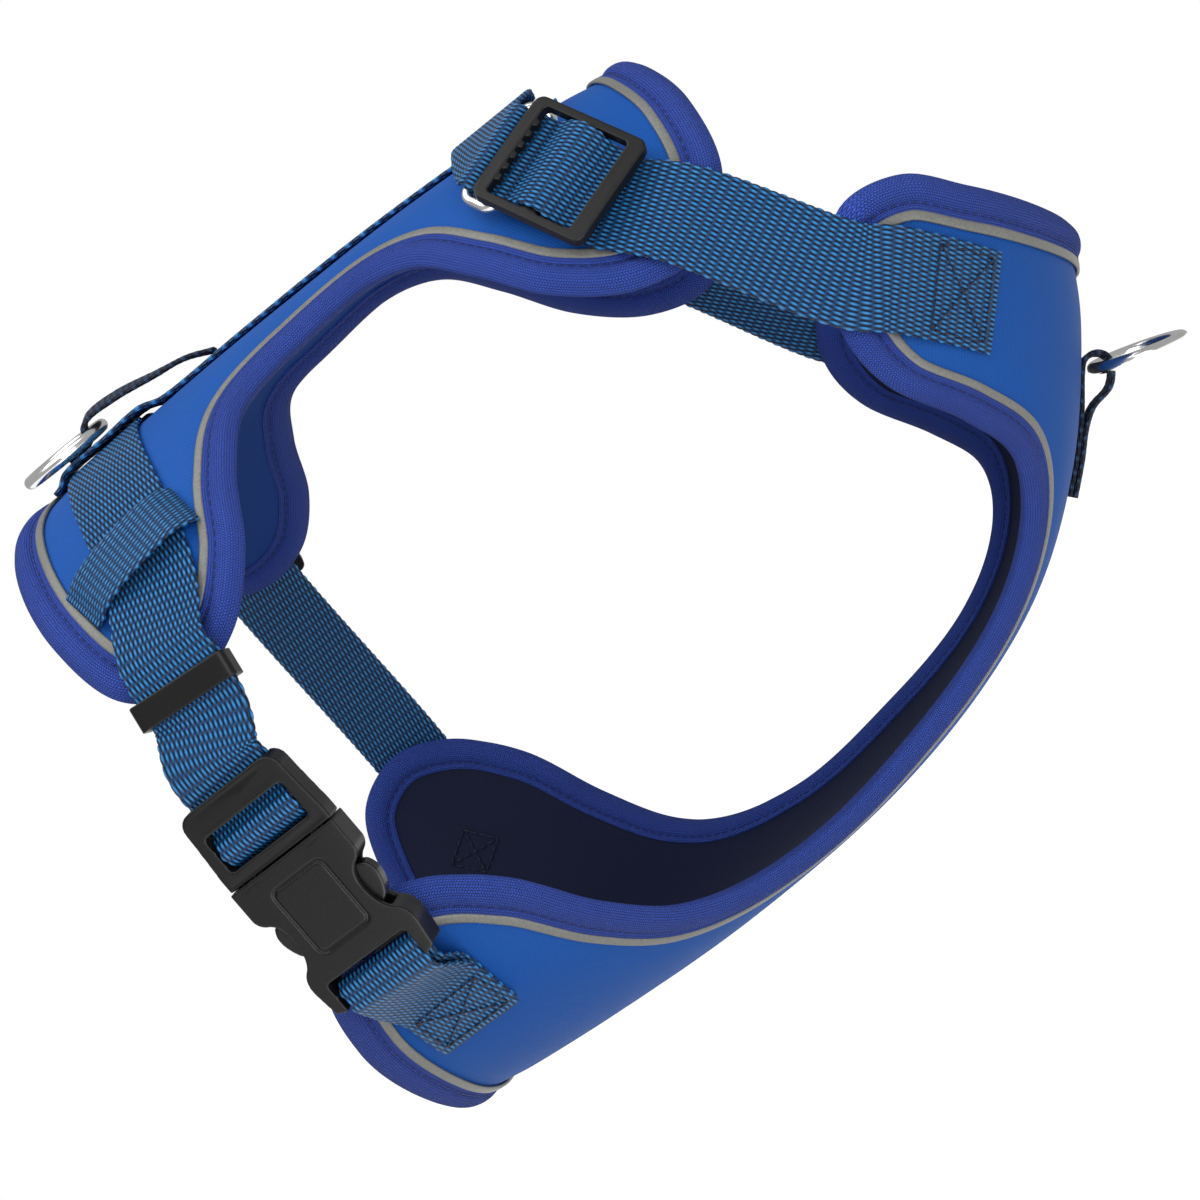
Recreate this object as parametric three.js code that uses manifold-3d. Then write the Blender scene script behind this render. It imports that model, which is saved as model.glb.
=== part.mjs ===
// No-pull dog harness, shaped as it sits on the dog. Millimetres, +Z up, +X to the dog's head.
// The origin is on the inner face of the back pad, on the spine, where the pad is flat.
// "right" is the dog's right (-Y) and carries the side-release buckle; "left" is +Y.
import * as THREE from "three";
import { mergeVertices } from "three/addons/utils/BufferGeometryUtils.js";
import Module from "manifold-3d";

const wasm = await Module();
wasm.setup();

// ---- Driving dimensions ----------------------------------------------------------------
const RIGHT = -1;
const LEFT = 1;

const GAP = 0.3;                    // clearance between touching pieces
const PAD_THICK = 3.2;              // neoprene
const BINDING_WIDTH = 8;
const BINDING_WALL = 0.6;
const PIPING_WIDTH = 2.2;
const PIPING_TALL = 1.2;

const WEB_THICK = 1.5;
const GIRTH_WEB = 25;
const NECK_WEB = 27;
const TAB_WEB = 12;
const GUIDE_WEB = 15;

const GIRTH_HALF_WIDTH = 85;        // half axes of the body's cross-section at the girth
const GIRTH_HALF_HEIGHT = 105;
const NECK_HALF_WIDTH = 66;         // and at the neck
const NECK_HALF_HEIGHT = 76;
const GIRTH_X = -75;
const NECK_X = 95;

const RIDGE_FLAT = 12;              // half length of the straight, level part of the spine
const RIDGE_DROP_REAR = 0.0004;
const RIDGE_DROP_FRONT = 0.0008;
const SPINE_FLAT = 6;               // half width of the flat strip along the spine

const TWIST_AXIS_Z = -105;          // the harness lies slightly twisted about this height
const TWIST_RATE = THREE.MathUtils.degToRad(-0.05);

const RING_RADIUS = 12.9;           // leash rings, to the middle of the wire
const RING_WIRE = 1.8;

const BACK_STATIONS = 28;           // steps round half of each pad's outline
const CHEST_STATIONS = 36;
const PAD_ROWS = 5;

// Half outlines as (along the panel, out from its middle line), from one end to the other.
const BACK_OUTLINE = [
  [-101, SPINE_FLAT], [-104.5, 34], [-102.5, 76], [-94, 101], [-78, 110], [-60, 106], [-46, 92],
  [-37, 72], [-26, 55], [-5, 48.5], [16, 46], [30, 53], [42, 70], [55, 88], [73, 99], [93, 99],
  [109, 84], [114.5, 60], [113, 36], [109, SPINE_FLAT],
];
const CHEST_OUTLINE = [
  [-2, SPINE_FLAT], [-5, 40], [-10, 70], [-13.5, 89], [-7, 104], [10, 108.5], [30, 107], [46, 96],
  [55, 75], [64, 56], [80, 45.5], [112, 40], [150, 42], [186, 42.5], [208, 50], [226, 64],
  [243, 87], [259, 111], [278, 125], [300, 129], [316, 119], [321.5, 97], [319, 60], [314, SPINE_FLAT],
];

// Middle line of the chest panel from the throat, between the forelegs, to the belly (x, z).
const KEEL = [
  [175, -119], [159, -142.5], [137, -167], [110, -187.5], [79, -200.5], [40, -209], [-10, -212],
  [-60, -210], [-105, -205.5],
];

// ---- Materials -------------------------------------------------------------------------
const neoprene = () => new THREE.MeshStandardMaterial({ color: 0x2a61b4, roughness: 0.85, metalness: 0 });
const bindingKnit = () => new THREE.MeshStandardMaterial({ color: 0x3c50b8, roughness: 0.9, metalness: 0 });
const reflective = () => new THREE.MeshStandardMaterial({ color: 0x85857f, roughness: 0.5, metalness: 0.1 });
const webbing = () => new THREE.MeshStandardMaterial({ color: 0x2e64a2, roughness: 0.7, metalness: 0 });
const plastic = () => new THREE.MeshStandardMaterial({ color: 0x232321, roughness: 0.45, metalness: 0 });
const steel = () => new THREE.MeshStandardMaterial({ color: 0xd6d6d4, roughness: 0.15, metalness: 1 });

const harness = new THREE.Group();

function add(name, geometry, material) {
  const mesh = new THREE.Mesh(geometry, material);
  mesh.name = name;
  harness.add(mesh);
  return mesh;
}

// ---- The worn surfaces -----------------------------------------------------------------
const vec = (x, y, z) => new THREE.Vector3(x, y, z);
const mix = (a, b, t) => a + (b - a) * t;
const clamp = THREE.MathUtils.clamp;

function twistAngle(x) {
  return TWIST_RATE * (x - clamp(x, -RIDGE_FLAT, RIDGE_FLAT));
}

// Takes a point of the straight harness to its place on the twisted one.
function worn(point) {
  const angle = twistAngle(point.x);
  const lift = point.z - TWIST_AXIS_Z;
  return vec(
    point.x,
    point.y * Math.cos(angle) - lift * Math.sin(angle),
    TWIST_AXIS_Z + point.y * Math.sin(angle) + lift * Math.cos(angle),
  );
}

function wornDirection(direction, x) {
  return direction.clone().applyAxisAngle(vec(1, 0, 0), twistAngle(x));
}

function ridgeHeight(u) {
  const beyond = u - clamp(u, -RIDGE_FLAT, RIDGE_FLAT);
  return -(u < 0 ? RIDGE_DROP_REAR : RIDGE_DROP_FRONT) * beyond * beyond;
}

// Point of a panel's inner face, lifted by "off" along its outward normal. u runs along the
// panel and s across it, negative on the dog's right. The middle strip is flat.
function panelPoint(middle, inward, halfWidth, halfHeight, s, off) {
  const turn = Math.max(0, Math.abs(s) - SPINE_FLAT) / ((halfWidth + halfHeight) / 2);
  const side = Math.sign(s);
  const flat = Math.min(Math.abs(s), SPINE_FLAT);
  const across = side * (flat + halfWidth * Math.sin(turn));
  const depth = halfHeight * (1 - Math.cos(turn));
  const outY = side * halfHeight * Math.sin(turn);
  const outUp = halfWidth * Math.cos(turn);
  const length = Math.hypot(outY, outUp);
  return vec(
    middle.x + inward.x * (depth - (off * outUp) / length),
    across + (off * outY) / length,
    middle.z + inward.z * (depth - (off * outUp) / length),
  );
}

function straightBack(u, s, off) {
  const t = clamp((u - GIRTH_X) / (NECK_X - GIRTH_X), -0.3, 1.3);
  const wide = mix(GIRTH_HALF_WIDTH, NECK_HALF_WIDTH, t) - SPINE_FLAT / 3;
  const tall = mix(GIRTH_HALF_HEIGHT, NECK_HALF_HEIGHT, t);
  return panelPoint(vec(u, 0, ridgeHeight(u)), vec(0, 0, -1), wide, tall, s, off);
}

const back = (u, s, off) => worn(straightBack(u, s, off));

const keelCurve = new THREE.CatmullRomCurve3(KEEL.map(([x, z]) => vec(x, 0, z)));
const KEEL_LENGTH = keelCurve.getLength();

function chest(u, s, off) {
  const t = clamp(u / KEEL_LENGTH, 0, 1);
  const tangent = keelCurve.getTangentAt(t);
  const middle = keelCurve.getPointAt(t).addScaledVector(tangent, u - t * KEEL_LENGTH);
  const inward = vec(tangent.z, 0, -tangent.x);
  const wide = mix(NECK_HALF_WIDTH, GIRTH_HALF_WIDTH, t) - SPINE_FLAT / 3;
  const tall = mix(NECK_HALF_HEIGHT, GIRTH_HALF_HEIGHT, t);
  return worn(panelPoint(middle, inward, wide, tall, s, off));
}

function outward(skin, u, s, off) {
  return skin(u, s, off + 1).sub(skin(u, s, off)).normalize();
}

// ---- Mesh helpers ----------------------------------------------------------------------
// A closed body from a list of corner points and a list of quads and triangles.
function solid(points, faces) {
  const geometry = new THREE.BufferGeometry();
  geometry.setAttribute("position", new THREE.Float32BufferAttribute(points.flatMap((p) => p.toArray()), 3));
  const triangles = faces.flatMap((f) => (f.length === 3 ? [f] : [[f[0], f[1], f[2]], [f[0], f[2], f[3]]]));
  geometry.setIndex(triangles.flat());
  const merged = mergeVertices(geometry, 1e-4);
  const index = merged.getIndex().array;
  const kept = [];
  for (let i = 0; i < index.length; i += 3) {
    const [a, b, c] = [index[i], index[i + 1], index[i + 2]];
    if (a !== b && b !== c && c !== a) kept.push(a, b, c);
  }
  merged.setIndex(signedVolume(merged, kept) < 0 ? kept.reverse() : kept);
  return merged;
}

function signedVolume(geometry, index) {
  const at = (i) => new THREE.Vector3().fromBufferAttribute(geometry.getAttribute("position"), index[i]);
  let volume = 0;
  for (let i = 0; i < index.length; i += 3) volume += at(i).dot(at(i + 1).cross(at(i + 2))) / 6;
  return volume;
}

// Sweeps a section round or along a row of stations. place(station, corner) gives each point.
function sweep(stations, corners, place, closed) {
  const points = [];
  for (let i = 0; i < stations; i += 1) {
    for (let j = 0; j < corners; j += 1) points.push(place(i, j));
  }
  const faces = [];
  const spans = closed ? stations : stations - 1;
  for (let i = 0; i < spans; i += 1) {
    const next = (i + 1) % stations;
    for (let j = 0; j < corners; j += 1) {
      const k = (j + 1) % corners;
      faces.push([i * corners + j, i * corners + k, next * corners + k, next * corners + j]);
    }
  }
  if (!closed) {
    const last = (stations - 1) * corners;
    for (let j = 1; j < corners - 1; j += 1) {
      faces.push([0, j + 1, j]);
      faces.push([last, last + j, last + j + 1]);
    }
  }
  return solid(points, faces);
}

// ---- Pads, bindings and piping ---------------------------------------------------------
// Even steps round one half of an outline, drawn as a smooth curve through its points.
function halfOutline(outline, stations) {
  const curve = new THREE.CatmullRomCurve3(outline.map(([u, a]) => vec(u, a, 0)), false, "centripetal");
  return curve.getSpacedPoints(stations - 1).map((p) => new THREE.Vector2(p.x, p.y));
}

// The whole outline: the right half from rear to front, then the left half back again.
function wholeOutline(outline, stations) {
  const half = halfOutline(outline, stations);
  const right = half.map((p) => new THREE.Vector2(p.x, -p.y));
  return right.concat([...half].reverse());
}

// The outline's station i moved inwards by "inset", square to the edge there.
function insetPoint(loop, i, inset) {
  const before = loop[(i + loop.length - 1) % loop.length];
  const after = loop[(i + 1) % loop.length];
  const along = after.clone().sub(before).normalize();
  return loop[i].clone().add(new THREE.Vector2(-along.y, along.x).multiplyScalar(inset));
}

const PAD_INSET = 2.4;              // how far the pad's edge lies inside the binding

function padSolid(skin, outline, stations) {
  const loop = wholeOutline(outline, stations);
  const rim = loop.map((p, i) => insetPoint(loop, i, PAD_INSET));
  const seam = loop.map((p, i) => insetPoint(loop, i, BINDING_WIDTH + 1));
  const rear = outline[0][0];
  const front = outline[outline.length - 1][0];
  const margin = Math.sign(front - rear) * (BINDING_WIDTH + 8);
  const low = Math.min(rear + margin, front - margin);
  const high = Math.max(rear + margin, front - margin);
  const points = [];
  const place = (i, row, off) => {
    if (row === 0) return skin(rim[i].x, rim[i].y, off);
    const p = seam[i];
    const t = (row - 1) / (PAD_ROWS - 1);
    return skin(mix(p.x, clamp(p.x, low, high), t), mix(p.y, Math.sign(p.y) * SPINE_FLAT, t), off);
  };
  const half = stations;
  const index = (side, i, row, face) => ((side * half + i) * (PAD_ROWS + 1) + row) * 2 + face;
  for (let side = 0; side < 2; side += 1) {
    for (let i = 0; i < half; i += 1) {
      const station = side === 0 ? i : 2 * half - 1 - i;
      for (let row = 0; row <= PAD_ROWS; row += 1) {
        points.push(place(station, row, 0), place(station, row, PAD_THICK));
      }
    }
  }
  const faces = [];
  const quad = (a, b, c, d, flip) => faces.push(flip ? [d, c, b, a] : [a, b, c, d]);
  for (let side = 0; side < 2; side += 1) {
    const flip = side === 1;
    for (let i = 0; i < half - 1; i += 1) {
      for (let row = 0; row < PAD_ROWS; row += 1) {
        for (const face of [0, 1]) {
          quad(index(side, i, row, face), index(side, i + 1, row, face), index(side, i + 1, row + 1, face),
            index(side, i, row + 1, face), flip !== (face === 0));
        }
      }
      quad(index(side, i, 0, 0), index(side, i + 1, 0, 0), index(side, i + 1, 0, 1), index(side, i, 0, 1), flip);
    }
  }
  for (let i = 0; i < half - 1; i += 1) {
    for (const face of [0, 1]) {
      quad(index(0, i, PAD_ROWS, face), index(0, i + 1, PAD_ROWS, face), index(1, i + 1, PAD_ROWS, face),
        index(1, i, PAD_ROWS, face), face === 0);
    }
  }
  for (const [i, flip] of [[0, false], [half - 1, true]]) {
    for (let row = 0; row < PAD_ROWS; row += 1) {
      quad(index(0, i, row, 0), index(0, i, row, 1), index(0, i, row + 1, 1), index(0, i, row + 1, 0), flip);
      quad(index(1, i, row + 1, 0), index(1, i, row + 1, 1), index(1, i, row, 1), index(1, i, row, 0), flip);
    }
    quad(index(0, i, PAD_ROWS, 0), index(0, i, PAD_ROWS, 1), index(1, i, PAD_ROWS, 1), index(1, i, PAD_ROWS, 0), flip);
  }
  return solid(points, faces);
}

// A section given as (inset from the edge, off the inner face), carried all round the edge.
function edgeSweep(skin, outline, stations, section) {
  const loop = wholeOutline(outline, stations);
  return sweep(loop.length, section.length, (i, j) => {
    const p = insetPoint(loop, i, section[j][0]);
    return skin(p.x, p.y, section[j][1]);
  }, true);
}

const EDGE_GAP = 0.5;               // the pad's facets and the binding's differ a little on tight bends
const BINDING_TOP = PAD_THICK + EDGE_GAP + BINDING_WALL;
const BINDING_SECTION = [
  [BINDING_WIDTH, -EDGE_GAP - BINDING_WALL], [1.2, -EDGE_GAP - BINDING_WALL], [0, 0.3], [0, PAD_THICK - 0.3],
  [1.2, BINDING_TOP], [BINDING_WIDTH, BINDING_TOP], [BINDING_WIDTH, PAD_THICK + EDGE_GAP],
  [PAD_INSET - EDGE_GAP, PAD_THICK + EDGE_GAP], [PAD_INSET - EDGE_GAP, -EDGE_GAP], [BINDING_WIDTH, -EDGE_GAP],
];
const PIPING_FOOT = PAD_THICK + EDGE_GAP + 0.2;
const PIPING_SECTION = [
  [BINDING_WIDTH + GAP, PIPING_FOOT], [BINDING_WIDTH + GAP, PIPING_FOOT + PIPING_TALL],
  [BINDING_WIDTH + GAP + PIPING_WIDTH, PIPING_FOOT + PIPING_TALL],
  [BINDING_WIDTH + GAP + PIPING_WIDTH, PIPING_FOOT],
];

function panel(name, skin, outline, stations) {
  add(`${name}_pad`, padSolid(skin, outline, stations), neoprene());
  add(`${name}_binding`, edgeSweep(skin, outline, stations, BINDING_SECTION), bindingKnit());
  add(`${name}_piping`, edgeSweep(skin, outline, stations, PIPING_SECTION), reflective());
}

// ---- Webbing ---------------------------------------------------------------------------
// A route point: where the middle of the webbing runs, and which way its face looks. Where the
// webbing is cut on the skew, the point also says which way its width lies.
const on = (skin, side, u, a, off) => ({
  at: skin(u, side * a, off),
  out: outward(skin, u, side * (a || 0.01), off),
});

function ribbon(route, width, steps, thick = WEB_THICK) {
  const curve = (points) => new THREE.CatmullRomCurve3(points, false, "centripetal");
  const path = curve(route.map((r) => r.at));
  const face = curve(route.map((r) => r.out.clone().multiplyScalar(10)));
  const skew = route[0].across && curve(route.map((r) => r.across));
  const corners = [[-0.5, -0.5], [-0.5, 0.5], [0.5, 0.5], [0.5, -0.5]];
  const frames = [];
  for (let i = 0; i <= steps; i += 1) {
    const t = i / steps;
    const along = path.getTangent(t);
    const out = face.getPoint(t);
    out.addScaledVector(along, -out.dot(along)).normalize();
    const across = skew ? skew.getPoint(t).normalize() : along.clone().cross(out);
    frames.push({ at: path.getPoint(t), out, across });
  }
  return sweep(frames.length, 4, (i, j) => frames[i].at.clone()
    .addScaledVector(frames[i].across, corners[j][0] * width)
    .addScaledVector(frames[i].out, corners[j][1] * thick), false);
}

// ---- Hard pieces -----------------------------------------------------------------------
// A seat is a local frame: x across the webbing, y up along it, z out from the body.
function seat(point, down, out) {
  const y = down.clone().negate().normalize();
  const z = out.clone().addScaledVector(y, -out.dot(y)).normalize();
  const x = y.clone().cross(z);
  return new THREE.Matrix4().makeBasis(x, y, z).setPosition(point);
}

// The same seat on the straight harness's other side, then on the twisted harness.
function wornSeat(side, point, down, out) {
  const flip = (v) => vec(v.x, -side * v.y, v.z);
  return seat(worn(flip(point)), wornDirection(flip(down), point.x), wornDirection(flip(out), point.x));
}

const within = (frame, x, y, z) => vec(x, y, z).applyMatrix4(frame);

function roundedBox(shape, x, y, w, h, r) {
  shape.moveTo(x - w / 2 + r, y - h / 2);
  shape.lineTo(x + w / 2 - r, y - h / 2);
  shape.absarc(x + w / 2 - r, y - h / 2 + r, r, -Math.PI / 2, 0);
  shape.lineTo(x + w / 2, y + h / 2 - r);
  shape.absarc(x + w / 2 - r, y + h / 2 - r, r, 0, Math.PI / 2);
  shape.lineTo(x - w / 2 + r, y + h / 2);
  shape.absarc(x - w / 2 + r, y + h / 2 - r, r, Math.PI / 2, Math.PI);
  shape.lineTo(x - w / 2, y - h / 2 + r);
  shape.absarc(x - w / 2 + r, y - h / 2 + r, r, Math.PI, 1.5 * Math.PI);
  return shape;
}

const block = (x, y, w, h, r) => roundedBox(new THREE.Shape(), x, y, w, h, r);
const hole = (x, y, w, h, r) => roundedBox(new THREE.Path(), x, y, w, h, r);

function plate(shape, low, high, segments = 3) {
  const settings = { depth: high - low, bevelEnabled: false, curveSegments: segments };
  const geometry = new THREE.ExtrudeGeometry(shape, settings);
  return geometry.translate(0, 0, low);
}

function toManifold(geometry) {
  const bare = geometry.clone();
  bare.deleteAttribute("normal");
  bare.deleteAttribute("uv");
  const merged = mergeVertices(bare, 1e-4);
  return new wasm.Manifold(new wasm.Mesh({
    numProp: 3,
    vertProperties: new Float32Array(merged.getAttribute("position").array),
    triVerts: new Uint32Array(merged.getIndex().array),
  }));
}

function toGeometry(manifold) {
  const mesh = manifold.getMesh();
  const geometry = new THREE.BufferGeometry();
  geometry.setAttribute("position", new THREE.BufferAttribute(new Float32Array(mesh.vertProperties), 3));
  geometry.setIndex(Array.from(mesh.triVerts));
  return geometry;
}

// A wire of round section bent round a closed rounded rectangle in the local xy plane.
function rectangularLoop(width, height, corner, wire) {
  const path = block(0, 0, width, height, corner).getSpacedPoints(28).slice(0, -1);
  const sides = 6;
  return sweep(path.length, sides, (i, j) => {
    const before = path[(i + path.length - 1) % path.length];
    const after = path[(i + 1) % path.length];
    const along = after.clone().sub(before).normalize();
    const turn = (2 * Math.PI * j) / sides;
    const reach = wire * Math.cos(turn);
    return vec(path[i].x + along.y * reach, path[i].y - along.x * reach, -wire * Math.sin(turn));
  }, true);
}

// ---- Back panel, spine webbing and the back leash ring ---------------------------------
panel("back", back, BACK_OUTLINE, BACK_STATIONS);
panel("chest", chest, CHEST_OUTLINE, CHEST_STATIONS);

const ON_PAD = PAD_THICK + EDGE_GAP + WEB_THICK / 2;         // webbing lying on the pad
const OVER_WEB = ON_PAD + WEB_THICK + GAP;                   // webbing over other webbing

// Runs along the spine, over the two girth straps where they meet.
const SPINE_OVER = OVER_WEB + 0.6;
const spineRoute = [
  [-89.5, ON_PAD], [-87, ON_PAD + 0.5], [-84, SPINE_OVER], [-70, SPINE_OVER], [-56, SPINE_OVER],
  [-51, ON_PAD + 0.6], [-46, ON_PAD], [-20, ON_PAD], [20, ON_PAD], [60, ON_PAD], [88, ON_PAD],
];
const alongBack = spineRoute.map(([u, off]) => on(back, RIGHT, u, 0, off));
add("spine_webbing", ribbon(alongBack, GIRTH_WEB, 26), webbing());

// The back tab arches over the ring's wire from one sewn end to the other.
const RING_CLEAR = RING_WIRE + 1.5;
const BACK_RING_X = -69.3;
const BACK_RING_OFF = SPINE_OVER + WEB_THICK / 2 + RING_CLEAR;
const ARCH_TOP = BACK_RING_OFF + RING_CLEAR + WEB_THICK / 2;
const ARCH_REAR = BACK_RING_X - RING_CLEAR - WEB_THICK / 2;
const TAB_FOOT = SPINE_OVER + WEB_THICK + 2 * GAP;
const backTabRoute = [
  [ARCH_REAR - 8, TAB_FOOT], [ARCH_REAR - 3, TAB_FOOT], [ARCH_REAR, TAB_FOOT + 2.2, -1.3],
  [ARCH_REAR + 0.6, ARCH_TOP - 1.6, -1], [ARCH_REAR + 3.4, ARCH_TOP + 0.2, -0.3],
  [-60, ARCH_TOP - 0.4, 0.1], [-48, ARCH_TOP - 3, 0.3], [-38, TAB_FOOT + 0.9, 0.2], [-30, OVER_WEB, 0],
];
const archPoint = ([u, off, lean = 0]) => {
  const at = back(u, 0, off);
  return { at, out: wornDirection(vec(lean, 0, 1), u).normalize() };
};
add("leash_tab_back", ribbon(backTabRoute.map(archPoint), TAB_WEB, 26), webbing());

// A ring that turns about the wire inside its tab, which lies across the harness at "pivot".
const RING_SEAT = 0.7;              // how far the bent wire stands in from the pivot
function leashRing(pivot, away) {
  const ring = new THREE.TorusGeometry(RING_RADIUS, RING_WIRE, 6, 24);
  const way = wornDirection(away, pivot.x);
  const across = wornDirection(vec(0, 1, 0), pivot.x);
  const centre = pivot.clone().addScaledVector(way, RING_RADIUS - RING_SEAT);
  return ring.applyMatrix4(seat(centre, across, way.clone().cross(across)));
}
const backRingPivot = back(BACK_RING_X, 0, BACK_RING_OFF);
add("leash_ring_back", leashRing(backRingPivot, vec(-1, 0, 0)), steel());

// ---- Girth straps ----------------------------------------------------------------------
const GIRTH_CENTRE = [[-69.5, 7], [-69.5, 22], [-68.8, 40], [-68.2, 58], [-69.6, 80]];
const girthOnPad = (side) => GIRTH_CENTRE.map(([u, a]) => on(back, side, u, a, ON_PAD + 0.2));

const GUIDE_ARCH = [
  [-90.3, 76.3, 0], [-88.4, 76, 0.8], [-85.2, 75.5, 2.8], [-79, 74.8, 4.2], [-72, 74, 4.6], [-65, 73.2, 4.3],
  [-59, 72.6, 3.8], [-54.9, 72.2, 1.7], [-52.8, 72, 0],
];
function guideLoop(side, name) {
  const route = GUIDE_ARCH.map(([u, a, rise]) => on(back, side, u, a, ON_PAD + rise));
  add(name, ribbon(route, GUIDE_WEB, 16), webbing());
}
guideLoop(RIGHT, "guide_loop_right");
guideLoop(LEFT, "guide_loop_left");

// ---- Side-release buckle on the right girth strap --------------------------------------
// Local frame: x across, y up along the strap from -32 to 32, z out from the dog.
const buckle = seat(vec(-82.2, -96.5, -119.6), vec(0.015, 0.03, -0.99), vec(-0.2, -0.97, -0.06));
const BUCKLE_HALF_LENGTH = 32;
const MALE_BASE = 9.5;              // where the male body meets the female's mouth
const MALE_HALF_THICK = 4;
const FEMALE_HALF_THICK = 5;
const CHANNEL_HALF_THICK = 3.1;     // room inside the female for the prongs
const BLADE_HALF_WIDTH = 2.2;
const BAR_LOW = 16.6;               // the male's webbing bar
const BAR_HIGH = 19.6;

function maleBody() {
  const outline = new THREE.Shape();
  outline.moveTo(-17.2, MALE_BASE);
  outline.lineTo(17.2, MALE_BASE);
  outline.lineTo(17.2, 13);
  outline.quadraticCurveTo(16.6, 20, 16.2, 27);
  outline.absarc(12.2, 28, 4, 0, Math.PI / 2);
  outline.absarc(-12.2, 28, 4, Math.PI / 2, Math.PI);
  outline.lineTo(-16.2, 27);
  outline.quadraticCurveTo(-16.6, 20, -17.2, 13);
  outline.holes.push(hole(0, (BAR_HIGH + 24.4) / 2, 26.4, 24.4 - BAR_HIGH, 0.8));
  outline.holes.push(hole(0, (BAR_LOW + 12) / 2, 26.4, BAR_LOW - 12, 0.8));
  const frame = toManifold(plate(outline, -MALE_HALF_THICK, MALE_HALF_THICK));
  // The strap passes under the top bar and the webbing bar, between the side rails.
  const underTop = toManifold(plate(block(0, 28, 26.4, 9, 0.5), -MALE_HALF_THICK - 1, 0.4));
  const underBar = toManifold(plate(block(0, 18, 26.4, 8, 0.5), -MALE_HALF_THICK - 1, -0.9));
  const overBar = toManifold(plate(block(0, 18.1, 26.4, 4, 0.5), 1.9, MALE_HALF_THICK + 1));
  const blade = toManifold(plate(block(0, -1, 2 * BLADE_HALF_WIDTH, 22, 1), -2, 2));
  const body = frame.subtract(underTop).subtract(underBar).subtract(overBar).add(blade);
  return toGeometry(body).applyMatrix4(buckle);
}

const PRONG_ROOT_Y = MALE_BASE - GAP;
function prong(side) {
  const shape = new THREE.Shape();
  shape.moveTo(9, PRONG_ROOT_Y);
  shape.lineTo(12.2, PRONG_ROOT_Y);
  shape.lineTo(12.6, -3);
  shape.lineTo(15.4, -4.6);
  shape.quadraticCurveTo(18.2, -8, 14.6, -14);
  shape.quadraticCurveTo(12.4, -16.4, 9.6, -15.4);
  shape.quadraticCurveTo(9.2, -6, 9, PRONG_ROOT_Y);
  const geometry = plate(shape, -2.6, 2.6, 4);
  if (side < 0) geometry.rotateY(Math.PI);
  return geometry.applyMatrix4(buckle);
}

function femaleBody() {
  const top = MALE_BASE - GAP;
  const outline = new THREE.Shape();
  outline.moveTo(-17.4, top);
  outline.lineTo(-17.4, 0.5);
  outline.quadraticCurveTo(-17, -2, -14.4, -3);
  outline.quadraticCurveTo(-11.6, -5, -12, -10);
  outline.quadraticCurveTo(-12.4, -16, -15.4, -18);
  outline.quadraticCurveTo(-17.8, -20, -17.4, -24);
  outline.lineTo(-16.4, -31);
  outline.lineTo(-13.6, -BUCKLE_HALF_LENGTH);
  outline.lineTo(13.6, -BUCKLE_HALF_LENGTH);
  outline.lineTo(16.4, -31);
  outline.lineTo(17.4, -24);
  outline.quadraticCurveTo(17.8, -20, 15.4, -18);
  outline.quadraticCurveTo(12.4, -16, 12, -10);
  outline.quadraticCurveTo(11.6, -5, 14.4, -3);
  outline.quadraticCurveTo(17, -2, 17.4, 0.5);
  outline.lineTo(17.4, top);
  outline.closePath();
  const shell = toManifold(plate(outline, -FEMALE_HALF_THICK, FEMALE_HALF_THICK));
  const mouth = toManifold(plate(block(0, -3.4, 30.4, 27.4, 1), -CHANNEL_HALF_THICK, CHANNEL_HALF_THICK));
  const slotDepth = FEMALE_HALF_THICK + 1;
  const slot = toManifold(plate(block(0, -25.6, 26.4, 4.4, 0.8), -slotDepth, slotDepth));
  const barTop = toManifold(plate(block(0, -31, 26.4, 7, 0.5), 1.6, FEMALE_HALF_THICK + 1));
  const barBottom = toManifold(plate(block(0, -31, 26.4, 7, 0.5), -FEMALE_HALF_THICK - 1, -1.6));
  const body = shell.subtract(mouth).subtract(slot).subtract(barTop).subtract(barBottom);
  return toGeometry(body).applyMatrix4(buckle);
}

add("buckle_male", maleBody(), plastic());
add("buckle_prong_front", prong(1), plastic());
add("buckle_prong_rear", prong(-1), plastic());
add("buckle_female", femaleBody(), plastic());

// Webbing round a bar that lies across a seat at (y, z): "from" and "to" are angles in degrees.
function turn(frame, y, z, radius, from, to, count) {
  const points = [];
  for (let i = 0; i <= count; i += 1) {
    const angle = THREE.MathUtils.degToRad(mix(from, to, i / count));
    const out = vec(0, Math.cos(angle), Math.sin(angle));
    const at = within(frame, 0, y + radius * out.y, z + radius * out.z);
    points.push({ at, out: out.transformDirection(frame) });
  }
  return points;
}
const flatOn = (frame, y, z, lean = 0) => ({
  at: within(frame, 0, y, z),
  out: vec(0, lean, 1).normalize().transformDirection(frame),
});

// The strap's turn over the male's bar: it rises through one slot and goes down the other.
const WRAP_OVER = 1.9 + GAP + WEB_THICK / 2;
const maleWrap = [
  [30, -0.8], [24.4, -0.8, 0.3], [21.8, 0.8, 1], [20.2, 2.6, 0.7], [18.1, WRAP_OVER + 0.2], [16, 2.6, -0.7],
  [14.6, 0.6, -1.4], [13.4, -1.6, -1.2],
].map(([y, z, lean]) => flatOn(buckle, y, z, lean));
add("buckle_wrap", ribbon(maleWrap, GIRTH_WEB, 18), webbing());

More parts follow.
